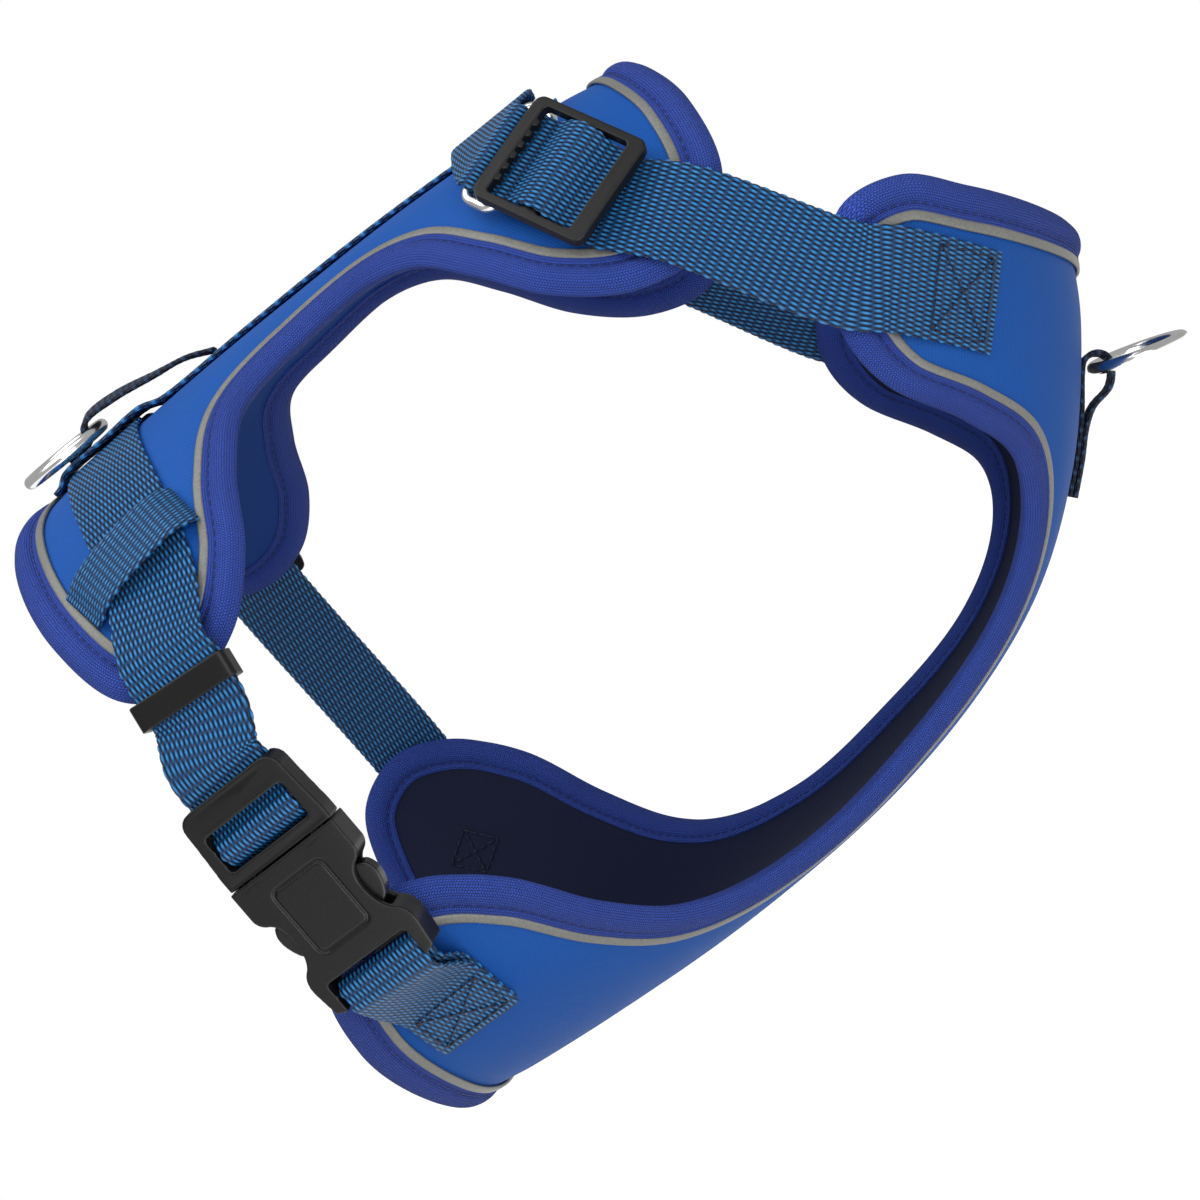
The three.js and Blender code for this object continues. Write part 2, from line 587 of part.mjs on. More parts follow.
// Above the buckle the strap and its tail run one over the other, through the keeper.
const keeper = seat(vec(-77.2, -91.4, -63.6), vec(-0.103, -0.164, -0.981), vec(-0.106, -0.983, 0.144));
const LAYER_APART = WEB_THICK + 4 * GAP;
const STRAP_IN_MALE = -0.8;
const LAYERS_IN_MALE = STRAP_IN_MALE - LAYER_APART / 2;
const doubled = [
  [keeper, 8, 0], [keeper, -7, 0], [buckle, 38, LAYERS_IN_MALE], [buckle, 31, LAYERS_IN_MALE],
].map(([frame, y, z]) => flatOn(frame, y, z));
const lifted = (by) => (r) => ({ at: r.at.clone().addScaledVector(r.out, by), out: r.out });
const mainStrap = [
  ...girthOnPad(RIGHT), on(back, RIGHT, -72.6, 91, ON_PAD + 2.6), flatOn(keeper, 13, 0.1, 0.4),
  ...doubled.map(lifted(LAYER_APART / 2)),
];
add("girth_strap_right", ribbon(mainStrap, GIRTH_WEB, 30), webbing());
const tail = [
  ...doubled.map(lifted(-LAYER_APART / 2)),
  ...[26, 19, 14.6].map((y) => flatOn(buckle, y, STRAP_IN_MALE - LAYER_APART)),
];
add("girth_strap_tail", ribbon(tail, GIRTH_WEB, 16), webbing());

const KEEPER_TALL = 2 * WEB_THICK + 7 * GAP;
const keeperRing = block(0, 0, GIRTH_WEB + 4.4, KEEPER_TALL + 2.4, 0.9);
keeperRing.holes.push(hole(0, 0, GIRTH_WEB + 0.8, KEEPER_TALL, 0.4));
const keeperGeometry = plate(keeperRing, -3.6, 3.6, 2).rotateX(Math.PI / 2).applyMatrix4(keeper);
add("strap_keeper_right", keeperGeometry, plastic());

// The stub holds the female to the right belly lobe: webbing round its end bar, both ends sewn down.
const turnedOver = (r) => ({ at: r.at, out: r.out.clone().negate() });
const BAR_WRAP = 3;
const stubRoute = [
  on(chest, RIGHT, 291.4, 83.4, OVER_WEB), on(chest, RIGHT, 292.6, 92, OVER_WEB),
  on(chest, RIGHT, 294, 101, OVER_WEB + 0.8), flatOn(buckle, -34, BAR_WRAP), flatOn(buckle, -30.5, BAR_WRAP),
  ...turn(buckle, -28.9, 0, BAR_WRAP, 75, -75, 6),
  turnedOver(flatOn(buckle, -30.5, -BAR_WRAP)), turnedOver(flatOn(buckle, -34, -BAR_WRAP)),
  turnedOver(on(chest, RIGHT, 294, 103, ON_PAD + 1)), turnedOver(on(chest, RIGHT, 292.6, 92, ON_PAD)),
  turnedOver(on(chest, RIGHT, 291.4, 83.4, ON_PAD)),
];
add("buckle_stub", ribbon(stubRoute, GIRTH_WEB, 34), webbing());

// ---- Left girth strap: unbroken, with a slider -----------------------------------------
const leftStrap = [
  ...girthOnPad(LEFT), on(back, LEFT, -73, 91, ON_PAD + 1.4), on(back, LEFT, -77.5, 103, ON_PAD + 2.4),
  on(chest, LEFT, 294, 122, ON_PAD + 2.8), on(chest, LEFT, 293.5, 107, ON_PAD + 1.2),
  on(chest, LEFT, 292.5, 95, ON_PAD + 0.2),
  on(chest, LEFT, 291, 80, ON_PAD),
];
add("girth_strap_left", ribbon(leftStrap, GIRTH_WEB, 34), webbing());

// ---- Tri-glide adjusters ---------------------------------------------------------------
// A flat frame with two slots and a bar between them, and the webbing's hump over the bar.
const GLIDE_HALF_THICK = 1.7;
const GLIDE_HALF_LENGTH = 17.3;
const HUMP_UNDER = -(GLIDE_HALF_THICK + GAP + WEB_THICK / 2);
const STRAP_UNDER = HUMP_UNDER - WEB_THICK - GAP;

function triGlide(frame, width) {
  const opening = width + 1.4;
  const shape = block(0, 0, opening + 5, 2 * GLIDE_HALF_LENGTH, 2.2);
  shape.holes.push(hole(0, 7.8, opening, 11.6, 0.8));
  shape.holes.push(hole(0, -7.2, opening, 10.6, 0.8));
  return plate(shape, -GLIDE_HALF_THICK, GLIDE_HALF_THICK).applyMatrix4(frame);
}

function hump(frame, width) {
  const route = [
    [7.8, -1.2, 1], [5, 0.8, 1], [2.6, 2.4, 0.6], [0, 2.95], [-2.6, 2.4, -0.6], [-5.2, 0.3, -1], [-8, -2.2, -0.6],
    [-10.8, HUMP_UNDER - 0.1], [-15.6, HUMP_UNDER],
  ];
  return ribbon(route.map(([y, z, lean]) => flatOn(frame, y, z, lean)), width, 18);
}

const leftSlider = seat(
  back(-76.8, 100, ON_PAD + 2.3 - STRAP_UNDER),
  back(-78, 106, ON_PAD).sub(back(-75.6, 94, ON_PAD)),
  outward(back, -76.8, 100, ON_PAD),
);
add("girth_slider_left", triGlide(leftSlider, GIRTH_WEB), plastic());
add("girth_slider_hump", hump(leftSlider, GIRTH_WEB), webbing());

// ---- Neck straps -----------------------------------------------------------------------
// Each strap turns round the lower bar of a steel loop, which a short tab ties to the spine.
const LOOP_WIRE = 1.5;
const LOOP_LOW_BAR = 13;
const LOOP_HIGH_BAR = 22;
const LOOP_UNDER = -5.5;
const FOLD = LOOP_WIRE + 2 * GAP + WEB_THICK / 2;

const NECK_DOWN = vec(0.4, -0.365, -0.836);
const NECK_SPOT = straightBack(76.3, -60, 13).addScaledVector(NECK_DOWN, 8.4).add(vec(-2.9, -2.5, -0.3));

function neckSide(side, name) {
  const frame = wornSeat(side, NECK_SPOT, NECK_DOWN, vec(0.146, -0.879, 0.454));
  add(`neck_adjuster_${name}`, triGlide(frame, NECK_WEB), plastic());
  add(`neck_hump_${name}`, hump(frame, NECK_WEB), webbing());

  const steelLoop = rectangularLoop(NECK_WEB + 4.4, LOOP_HIGH_BAR - LOOP_LOW_BAR, 2.6, LOOP_WIRE);
  steelLoop.translate(0, (LOOP_LOW_BAR + LOOP_HIGH_BAR) / 2, LOOP_UNDER);
  add(`neck_loop_${name}`, steelLoop.applyMatrix4(frame), steel());

  const strap = [
    flatOn(frame, -7, STRAP_UNDER), flatOn(frame, 0, STRAP_UNDER), flatOn(frame, 6, STRAP_UNDER + 0.4),
    ...turn(frame, LOOP_LOW_BAR, LOOP_UNDER, FOLD, 90, -90, 6),
    ...[[6, -2.6], [-3, -2], [-13, -1.3]]
      .map(([y, rise]) => turnedOver(flatOn(frame, y, STRAP_UNDER + rise))),
    turnedOver(on(back, side, 93.5, 90.5, ON_PAD + 3.8)),
    ...[[9.5, 104, 2.6], [11.5, 95, 2.4], [15, 84, 0.8], [18.5, 74, 0], [22, 64.5, 0]]
      .map(([u, a, rise]) => turnedOver(on(chest, side, u, a, ON_PAD + rise))),
  ];
  add(`neck_strap_${name}`, ribbon(strap, NECK_WEB, 44), webbing());

  // The tab lies along the spine at one end and along the loop at the other.
  const alongSpine = vec(1, 0, 0);
  const alongLoop = vec(-side, 0, 0).transformDirection(frame);
  const skewed = (across) => (r) => ({ ...r, across });
  const tab = [
    ...[turnedOver(on(back, side, 71, 15.6, ON_PAD + 0.4)), turnedOver(on(back, side, 71, 23, ON_PAD + 1.2))]
      .map(skewed(alongSpine)),
    ...turn(frame, LOOP_HIGH_BAR, LOOP_UNDER, FOLD, -155, -335, 6).map(skewed(alongLoop)),
    ...[on(back, side, 71, 25, ON_PAD + 5.6), on(back, side, 71, 15.6, OVER_WEB + 0.8)]
      .map(skewed(alongSpine)),
  ];
  add(`neck_tab_${name}`, ribbon(tab, NECK_WEB, 24), webbing());
}
neckSide(RIGHT, "right");
neckSide(LEFT, "left");

// ---- Front leash ring on its tab -------------------------------------------------------
const FRONT_RING_U = 34.5;
const FRONT_FOLD = RING_CLEAR + WEB_THICK / 2;
const FRONT_RING_OFF = ON_PAD + FRONT_FOLD;
const onKeel = (u, off, lean = 0) => {
  const at = chest(u, 0, off);
  const out = outward(chest, u, 0.01, off);
  const along = chest(u + 1, 0, off).sub(at).normalize();
  return { at, out: out.addScaledVector(along, lean).normalize() };
};
const frontTab = [70, 60, 48.5].map((u) => turnedOver(onKeel(u, ON_PAD + 0.2)));
for (let angle = -90; angle >= -270; angle -= 36) {
  const a = THREE.MathUtils.degToRad(angle);
  const at = chest(FRONT_RING_U + FRONT_FOLD * Math.cos(a), 0, FRONT_RING_OFF + FRONT_FOLD * Math.sin(a));
  frontTab.push({ at, out: at.clone().sub(chest(FRONT_RING_U, 0, FRONT_RING_OFF)).normalize() });
}
frontTab.push(onKeel(39.5, FRONT_RING_OFF + FRONT_FOLD - 0.5, 0.3), onKeel(45, OVER_WEB + 1.6, 0.5));
frontTab.push(onKeel(50.5, OVER_WEB + 0.1, 0.1), onKeel(60, OVER_WEB), onKeel(70, OVER_WEB));
add("leash_tab_front", ribbon(frontTab, TAB_WEB, 36), webbing());

const frontRingPivot = chest(FRONT_RING_U, 0, FRONT_RING_OFF);
add("leash_ring_front", leashRing(frontRingPivot, vec(0.954, 0, -0.3)), steel());

export default harness;
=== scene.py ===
"""No-pull dog harness: the soft pieces, webbing, stitching and hardware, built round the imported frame."""
import math

import bmesh
import bpy
import numpy as np
from mathutils import Matrix, Vector


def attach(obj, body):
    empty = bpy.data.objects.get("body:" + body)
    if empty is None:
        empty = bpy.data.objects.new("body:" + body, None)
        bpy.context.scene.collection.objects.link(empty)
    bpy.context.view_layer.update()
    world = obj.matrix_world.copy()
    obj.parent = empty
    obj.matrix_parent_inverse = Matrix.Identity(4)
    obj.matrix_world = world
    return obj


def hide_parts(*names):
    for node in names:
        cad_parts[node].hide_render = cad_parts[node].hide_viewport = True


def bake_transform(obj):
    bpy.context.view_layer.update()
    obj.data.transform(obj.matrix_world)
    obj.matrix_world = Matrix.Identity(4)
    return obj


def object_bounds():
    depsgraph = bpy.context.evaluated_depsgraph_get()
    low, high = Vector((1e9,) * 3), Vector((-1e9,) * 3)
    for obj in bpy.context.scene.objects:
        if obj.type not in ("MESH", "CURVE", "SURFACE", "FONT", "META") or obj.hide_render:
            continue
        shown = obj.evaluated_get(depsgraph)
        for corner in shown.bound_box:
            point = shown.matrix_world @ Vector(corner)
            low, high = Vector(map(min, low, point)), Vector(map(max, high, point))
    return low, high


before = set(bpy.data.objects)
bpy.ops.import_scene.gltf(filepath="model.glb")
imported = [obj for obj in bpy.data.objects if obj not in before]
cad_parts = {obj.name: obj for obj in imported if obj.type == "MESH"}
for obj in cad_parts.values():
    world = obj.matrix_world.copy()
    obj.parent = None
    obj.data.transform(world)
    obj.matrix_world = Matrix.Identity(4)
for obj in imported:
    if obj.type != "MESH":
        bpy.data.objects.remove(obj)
for start_object in ("Cube", "Light", "Camera"):
    if start_object in bpy.data.objects:
        bpy.data.objects.remove(bpy.data.objects[start_object])
CAD_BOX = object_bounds()

# ---- Driving dimensions, in metres -----------------------------------------------------------
RIGHT, LEFT = -1, 1
MM = 0.001

PAD_THICK = 0.0032
BINDING_WIDTH = 0.0094
BINDING_SWELL = 0.0015          # how far the rolled edge stands proud of the pad
PIPING_WIDTH = 0.0024
STITCH_INSET = 0.0021           # from the binding's inner lip to its row of stitches

WEB_THICK = 0.0015
GIRTH_WEB = 0.025
NECK_WEB = 0.027
TAB_WEB = 0.012
GUIDE_WEB = 0.015
GAP = 0.0003
ON_PAD = PAD_THICK + 0.0005 + WEB_THICK / 2
OVER_WEB = ON_PAD + WEB_THICK + GAP

GIRTH_HALF_WIDTH, GIRTH_HALF_HEIGHT, GIRTH_X = 0.085, 0.105, -0.075
NECK_HALF_WIDTH, NECK_HALF_HEIGHT, NECK_X = 0.066, 0.076, 0.095
RIDGE_FLAT = 0.012
RIDGE_DROP_REAR, RIDGE_DROP_FRONT = 0.4, 0.8
SPINE_FLAT = 0.006
TWIST_AXIS_Z = -0.105
TWIST_RATE = math.radians(-50)

BACK_OUTLINE = [
    (-0.101, 0.006), (-0.1045, 0.034), (-0.1025, 0.076), (-0.094, 0.101), (-0.078, 0.110),
    (-0.060, 0.106), (-0.046, 0.092), (-0.037, 0.072), (-0.026, 0.055), (-0.005, 0.0485),
    (0.016, 0.046), (0.030, 0.053), (0.042, 0.070), (0.055, 0.088), (0.073, 0.099),
    (0.093, 0.099), (0.109, 0.084), (0.1145, 0.060), (0.113, 0.036), (0.109, 0.006),
]
CHEST_OUTLINE = [
    (-0.002, 0.006), (-0.005, 0.040), (-0.010, 0.070), (-0.0135, 0.089), (-0.007, 0.104),
    (0.010, 0.1085), (0.030, 0.107), (0.046, 0.096), (0.055, 0.075), (0.064, 0.056),
    (0.080, 0.0455), (0.112, 0.040), (0.150, 0.042), (0.186, 0.0425), (0.208, 0.050),
    (0.226, 0.064), (0.243, 0.087), (0.259, 0.111), (0.278, 0.125), (0.300, 0.129),
    (0.316, 0.119), (0.3215, 0.097), (0.319, 0.060), (0.314, 0.006),
]
KEEL = [
    (0.175, -0.119), (0.159, -0.1425), (0.137, -0.167), (0.110, -0.1875), (0.079, -0.2005),
    (0.040, -0.209), (-0.010, -0.212), (-0.060, -0.210), (-0.105, -0.2055),
]


# ---- Small vector helpers --------------------------------------------------------------------
def vec(*values):
    return np.array(values, float)


def unit(v):
    return v / np.maximum(np.linalg.norm(v, axis=-1, keepdims=True), 1e-12)


def smooth(curve_points, per_span=24):
    """Points along the centripetal Catmull-Rom curve through the given points."""
    p = np.array(curve_points, float)
    p = np.vstack([2 * p[0] - p[1], p, 2 * p[-1] - p[-2]])
    out = []
    for i in range(1, len(p) - 2):
        x0, x1, x2, x3 = p[i - 1], p[i], p[i + 1], p[i + 2]
        d0, d1, d2 = (max(np.linalg.norm(b - a) ** 0.5, 1e-5) for a, b in ((x0, x1), (x1, x2), (x2, x3)))
        t1 = ((x1 - x0) / d0 - (x2 - x0) / (d0 + d1) + (x2 - x1) / d1) * d1
        t2 = ((x2 - x1) / d1 - (x3 - x1) / (d1 + d2) + (x3 - x2) / d2) * d1
        last = i == len(p) - 3
        t = np.linspace(0, 1, per_span + 1)[: None if last else -1, None]
        out.append(x1 + t1 * t + (3 * (x2 - x1) - 2 * t1 - t2) * t**2 + (2 * (x1 - x2) + t1 + t2) * t**3)
    return np.vstack(out)


def lengths(points):
    return np.concatenate([[0], np.cumsum(np.linalg.norm(np.diff(points, axis=0), axis=1))])


def spaced(points, count=None, step=None):
    """The same line with evenly spaced points."""
    at = lengths(points)
    count = count or max(2, round(at[-1] / step) + 1)
    want = np.linspace(0, at[-1], count)
    return np.stack([np.interp(want, at, points[:, k]) for k in range(points.shape[1])], 1)


# ---- The worn surfaces -----------------------------------------------------------------------
def worn(p, rotate_only_at=None):
    """A point of the straight harness, moved to its place on the slightly twisted one."""
    x = p[..., 0] if rotate_only_at is None else rotate_only_at
    angle = TWIST_RATE * (x - np.clip(x, -RIDGE_FLAT, RIDGE_FLAT))
    axis_z = TWIST_AXIS_Z if rotate_only_at is None else 0
    lift = p[..., 2] - axis_z
    c, s = np.cos(angle), np.sin(angle)
    return np.stack([p[..., 0], p[..., 1] * c - lift * s, axis_z + p[..., 1] * s + lift * c], -1)


def ridge_height(u):
    beyond = u - np.clip(u, -RIDGE_FLAT, RIDGE_FLAT)
    return -np.where(u < 0, RIDGE_DROP_REAR, RIDGE_DROP_FRONT) * beyond**2


def panel_point(middle, inward, wide, tall, s, off):
    turn = np.maximum(0, np.abs(s) - SPINE_FLAT) / ((wide + tall) / 2)
    side = np.sign(s)
    across = side * (np.minimum(np.abs(s), SPINE_FLAT) + wide * np.sin(turn))
    depth = tall * (1 - np.cos(turn))
    out_y, out_up = side * tall * np.sin(turn), wide * np.cos(turn)
    length = np.hypot(out_y, out_up)
    point = middle + inward * (depth - off * out_up / length)[..., None]
    point[..., 1] += across + off * out_y / length
    return point


def straight_back(u, s, off):
    u, s, off = np.broadcast_arrays(vec(u) if np.isscalar(u) else u, s, off)
    t = np.clip((u - GIRTH_X) / (NECK_X - GIRTH_X), -0.3, 1.3)
    wide = GIRTH_HALF_WIDTH + (NECK_HALF_WIDTH - GIRTH_HALF_WIDTH) * t - SPINE_FLAT / 3
    tall = GIRTH_HALF_HEIGHT + (NECK_HALF_HEIGHT - GIRTH_HALF_HEIGHT) * t
    middle = np.stack([u, 0 * u, ridge_height(u)], -1)
    return panel_point(middle, vec(0, 0, -1), wide, tall, s, off)


def back(u, s, off):
    return worn(straight_back(u, s, off))


keel_line = smooth([(x, 0, z) for x, z in KEEL], 60)
keel_at = lengths(keel_line)


def chest(u, s, off):
    u, s, off = np.broadcast_arrays(vec(u) if np.isscalar(u) else u, s, off)
    t = np.clip(u / keel_at[-1], 0, 1)
    along = t * keel_at[-1]
    ahead, behind = np.minimum(along + MM, keel_at[-1]), np.maximum(along - MM, 0)

    def on_keel(at):
        return np.stack([np.interp(at, keel_at, keel_line[:, k]) for k in range(3)], -1)

    tangent = unit(on_keel(ahead) - on_keel(behind))
    middle = on_keel(along) + tangent * (u - along)[..., None]
    inward = np.stack([tangent[..., 2], 0 * u, -tangent[..., 0]], -1)
    wide = NECK_HALF_WIDTH + (GIRTH_HALF_WIDTH - NECK_HALF_WIDTH) * t - SPINE_FLAT / 3
    tall = NECK_HALF_HEIGHT + (GIRTH_HALF_HEIGHT - NECK_HALF_HEIGHT) * t
    return worn(panel_point(middle, inward, wide, tall, s, off))


def outward(skin, u, s):
    """The surface's true outward normal."""
    h = 0.0005
    across_u = skin(u + h, s, 0.0) - skin(u - h, s, 0.0)
    across_s = skin(u, s + h, 0.0) - skin(u, s - h, 0.0)
    normal = unit(np.cross(across_u, across_s))
    rough = skin(u, s, MM) - skin(u, s, 0.0)
    return normal * np.sign((normal * rough).sum(-1, keepdims=True))


def lifted(skin, u, s, off):
    """A point off the surface, square to it."""
    return skin(u, s, 0.0) + outward(skin, u, s) * np.asarray(off)[..., None]


# ---- Camera, light and floor -----------------------------------------------------------------
def add_camera():
    eye, target = Vector((0.066, -0.680, -0.0597)), Vector((0.011, 0, -0.1177))
    camera_up = Vector((0.621, 0, 0.784))
    camera = bpy.data.objects.new("camera", bpy.data.cameras.new("camera"))
    camera.data.lens, camera.data.sensor_width = 71.4, 36
    forward = (target - eye).normalized()
    right = forward.cross(camera_up).normalized()
    rows = (right, right.cross(forward), -forward, eye)
    camera.matrix_world = Matrix([[*(v[i] for v in rows)] for i in range(3)] + [[0, 0, 0, 1]])
    bpy.context.scene.collection.objects.link(camera)
    bpy.context.scene.camera = camera


def add_softbox(name, place, target, size, power):
    data = bpy.data.lights.new(name, "AREA")
    data.shape = "RECTANGLE"
    data.size, data.size_y = size
    data.energy = power
    lamp = bpy.data.objects.new(name, data)
    lamp.location = place
    lamp.rotation_mode = "QUATERNION"
    lamp.rotation_quaternion = (Vector(target) - Vector(place)).to_track_quat("-Z", "Y")
    bpy.context.scene.collection.objects.link(lamp)


def add_world(seen, mirrored_light, lit):
    """A pale backdrop to the eye, a dimmer one in polished faces and a low, even light on the harness."""
    world = bpy.data.worlds.new("studio")
    bpy.context.scene.world = world
    world.use_nodes = True
    tree = world.node_tree
    background = tree.nodes["Background"]
    background.inputs["Color"].default_value = (1, 1, 1, 1)
    light_path = tree.nodes.new("ShaderNodeLightPath")
    total = None
    for ray, strength in (("Is Camera Ray", seen - lit), ("Is Glossy Ray", mirrored_light - lit)):
        step = tree.nodes.new("ShaderNodeMath")
        step.operation = "MULTIPLY_ADD"
        step.inputs[1].default_value = strength
        step.inputs[2].default_value = lit
        tree.links.new(light_path.outputs[ray], step.inputs[0])
        if total:
            tree.links.new(total, step.inputs[2])
        total = step.outputs[0]
    tree.links.new(total, background.inputs["Strength"])


def add_floor(low, size):
    """A flat, pale floor, well below the hanging harness."""
    mesh = bpy.data.meshes.new("floor")
    work = bmesh.new()
    bmesh.ops.create_grid(work, x_segments=8, y_segments=8, size=size / 2)
    work.to_mesh(mesh)
    work.free()
    floor = bpy.data.objects.new("floor", mesh)
    floor.location = (0, 0, low)
    bpy.context.scene.collection.objects.link(floor)
    paper = bpy.data.materials.new("floor_paper")
    paper.use_nodes = True
    shader = paper.node_tree.nodes["Principled BSDF"]
    shader.inputs["Base Color"].default_value = (0.9, 0.9, 0.9, 1)
    shader.inputs["Roughness"].default_value = 0.9
    shader.inputs["Emission Color"].default_value = (1, 1, 1, 1)
    shader.inputs["Emission Strength"].default_value = 0.9
    mesh.materials.append(paper)
    floor.visible_diffuse = False


bpy.context.scene.view_settings.view_transform = "Standard"
add_camera()
add_world(1.0, 0.4, 0.17)
add_softbox("top_box", (-0.15, -0.25, 0.75), (0, 0, -0.1), (0.9, 0.9), 5.5)
add_softbox("front_box", (0.25, -1.1, 0.25), (0, 0, -0.1), (0.7, 0.7), 4)
add_softbox("low_box", (0.1, -0.75, -0.42), (0, 0, -0.1), (0.7, 0.4), 2.6)
add_floor(CAD_BOX[0][2] - 0.35, 6.0)


# ---- Mesh helpers ----------------------------------------------------------------------------
UV = "cloth"                    # cells of weave or knit, across and along a piece


def mesh_object(name, points, faces, corner_uvs=None):
    mesh = bpy.data.meshes.new(name)
    mesh.from_pydata([tuple(p) for p in np.asarray(points)], [], [tuple(int(i) for i in f) for f in faces])
    if corner_uvs is not None:
        layer = mesh.uv_layers.new(name=UV)
        layer.data.foreach_set("uv", np.asarray(corner_uvs, np.float32).ravel())
    work = bmesh.new()
    work.from_mesh(mesh)
    bmesh.ops.recalc_face_normals(work, faces=work.faces)
    work.to_mesh(mesh)
    work.free()
    mesh.shade_smooth()
    obj = bpy.data.objects.new(name, mesh)
    bpy.context.scene.collection.objects.link(obj)
    return obj


def swept(name, grid, u=None, v=None, closed=False):
    """A body from a grid of points: each row is one closed section, and the rows run along the piece."""
    rows, cols = grid.shape[:2]
    u = np.arange(cols + 1) if u is None else u
    v = np.arange(rows + 1) if v is None else v
    r, c = np.meshgrid(np.arange(rows if closed else rows - 1), np.arange(cols), indexing="ij")
    r, c = r.ravel(), c.ravel()
    next_r, next_c = (r + 1) % rows, (c + 1) % cols
    faces = np.stack([r * cols + c, r * cols + next_c, next_r * cols + next_c, next_r * cols + c], 1)
    uvs = np.stack([u[c], v[r], u[c + 1], v[r], u[c + 1], v[r + 1], u[c], v[r + 1]], 1).reshape(-1, 2)
    faces = [tuple(f) for f in faces]
    if not closed:
        faces.append(tuple(range(cols))[::-1])
        faces.append(tuple(range((rows - 1) * cols, rows * cols)))
        uvs = np.vstack([uvs, np.stack([u[:-1][::-1], np.full(cols, v[0])], 1),
                         np.stack([u[:-1], np.full(cols, v[rows - 1])], 1)])
    return mesh_object(name, grid.reshape(-1, 3), faces, uvs)


def finished(obj, body, slot, materials, *nodes):
    """Gives a piece its material, its body and the nodes that it stands for; the slot argument is not used.
    """
    for material in materials if isinstance(materials, (list, tuple)) else [materials]:
        obj.data.materials.append(material)
    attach(obj, body)
    if nodes:
        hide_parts(*nodes)
    return obj


def applied(obj):
    """Bakes an object's modifiers into its mesh."""
    depsgraph = bpy.context.evaluated_depsgraph_get()
    mesh = bpy.data.meshes.new_from_object(obj.evaluated_get(depsgraph))
    obj.modifiers.clear()
    obj.data = mesh
    return obj


# ---- Materials -------------------------------------------------------------------------------
class Nodes:
    """A short way to build a node material."""

    def __init__(self, name, color, roughness, metallic=0.0, **sockets):
        self.material = bpy.data.materials.new(name)
        self.material.use_nodes = True
        self.tree = self.material.node_tree
        self.shader = self.tree.nodes["Principled BSDF"]
        self.shader.inputs["Base Color"].default_value = (*color, 1)
        self.shader.inputs["Roughness"].default_value = roughness
        self.shader.inputs["Metallic"].default_value = metallic
        for socket, value in sockets.items():
            self.shader.inputs[socket.replace("_", " ")].default_value = value

    def add(self, kind, **settings):
        node = self.tree.nodes.new(kind)
        for key, value in settings.items():
            setattr(node, key, value)
        return node

    def link(self, out, into):
        self.tree.links.new(out, into)

    def math(self, operation, a, b=None, c=None):
        node = self.add("ShaderNodeMath", operation=operation)
        for socket, value in zip(node.inputs, (a, b, c)):
            if value is None:
                continue
            if isinstance(value, (int, float)):
                socket.default_value = value
            else:
                self.link(value, socket)
        return node.outputs[0]

    def cloth(self):
        """The two cell coordinates of a piece's own map."""
        split = self.add("ShaderNodeSeparateXYZ")
        self.link(self.add("ShaderNodeUVMap", uv_map=UV).outputs[0], split.inputs[0])
        return split.outputs[0], split.outputs[1]

    def noise(self, scale, detail=3.0, roughness=0.5):
        node = self.add("ShaderNodeTexNoise")
        node.inputs["Scale"].default_value = scale
        node.inputs["Detail"].default_value = detail
        node.inputs["Roughness"].default_value = roughness
        self.link(self.add("ShaderNodeTexCoord").outputs["Object"], node.inputs["Vector"])
        return node.outputs[0]

    def ramp(self, value, *stops):
        node = self.add("ShaderNodeValToRGB")
        elements = node.color_ramp.elements
        while len(elements) < len(stops):
            elements.new(0.5)
        for element, (position, color) in zip(elements, stops):
            element.position = position
            element.color = (*color, 1) if len(color) == 3 else color
        self.link(value, node.inputs[0])
        return node.outputs[0]

    def varied(self, color, amount=0.1, scale=9.0):
        """The colour, a little lighter and darker over wide areas."""
        spread = self.math("MULTIPLY_ADD", self.noise(scale, 2.0), 2 * amount, 1 - amount)
        node = self.add("ShaderNodeVectorMath", operation="SCALE")
        self.link(color, node.inputs[0])
        self.link(spread, node.inputs["Scale"])
        return node.outputs[0]

    def color(self, socket):
        self.link(socket, self.shader.inputs["Base Color"])

    def roughness(self, socket):
        self.link(socket, self.shader.inputs["Roughness"])

    def bump(self, height, distance, strength=1.0):
        node = self.add("ShaderNodeBump")
        node.inputs["Distance"].default_value = distance
        node.inputs["Strength"].default_value = strength
        self.link(height, node.inputs["Height"])
        self.link(node.outputs[0], self.shader.inputs["Normal"])


def arch(n, x, sharp):
    """1 in the middle of each cell, falling to 0 at its edges."""
    centred = n.math("ABSOLUTE", n.math("MULTIPLY_ADD", x, 2.0, -1.0))
    return n.math("SUBTRACT", 1.0, n.math("POWER", centred, sharp))


def float_height(n, across, along, slant=0.22):
    """How high the webbing stands: each warp float rises over one rib and dips under its neighbours."""
    within_rib = n.math("SUBTRACT", n.math("FRACT", along), 0.5)
    stagger = n.math("MULTIPLY_ADD", n.math("MODULO", n.math("FLOOR", along), 2.0), 0.5, across)
    leaning = n.math("MULTIPLY_ADD", within_rib, slant, stagger)
    toward = n.math("SUBTRACT", within_rib, n.math("SIGN", within_rib))
    floats = []
    for shift, distance in ((0.0, within_rib), (0.5, toward)):
        aside = n.math("SUBTRACT", n.math("FRACT", n.math("ADD", leaning, shift)), 0.5)
        round_top = n.math("MULTIPLY_ADD", n.math("MULTIPLY", aside, aside), -4.0, 1.0)
        reach = n.math("DIVIDE", distance, 0.8)
        floats.append(n.math("SUBTRACT", round_top, n.math("MULTIPLY", reach, reach)))
    return n.math("MAXIMUM", n.math("MAXIMUM", *floats), 0.0), leaning


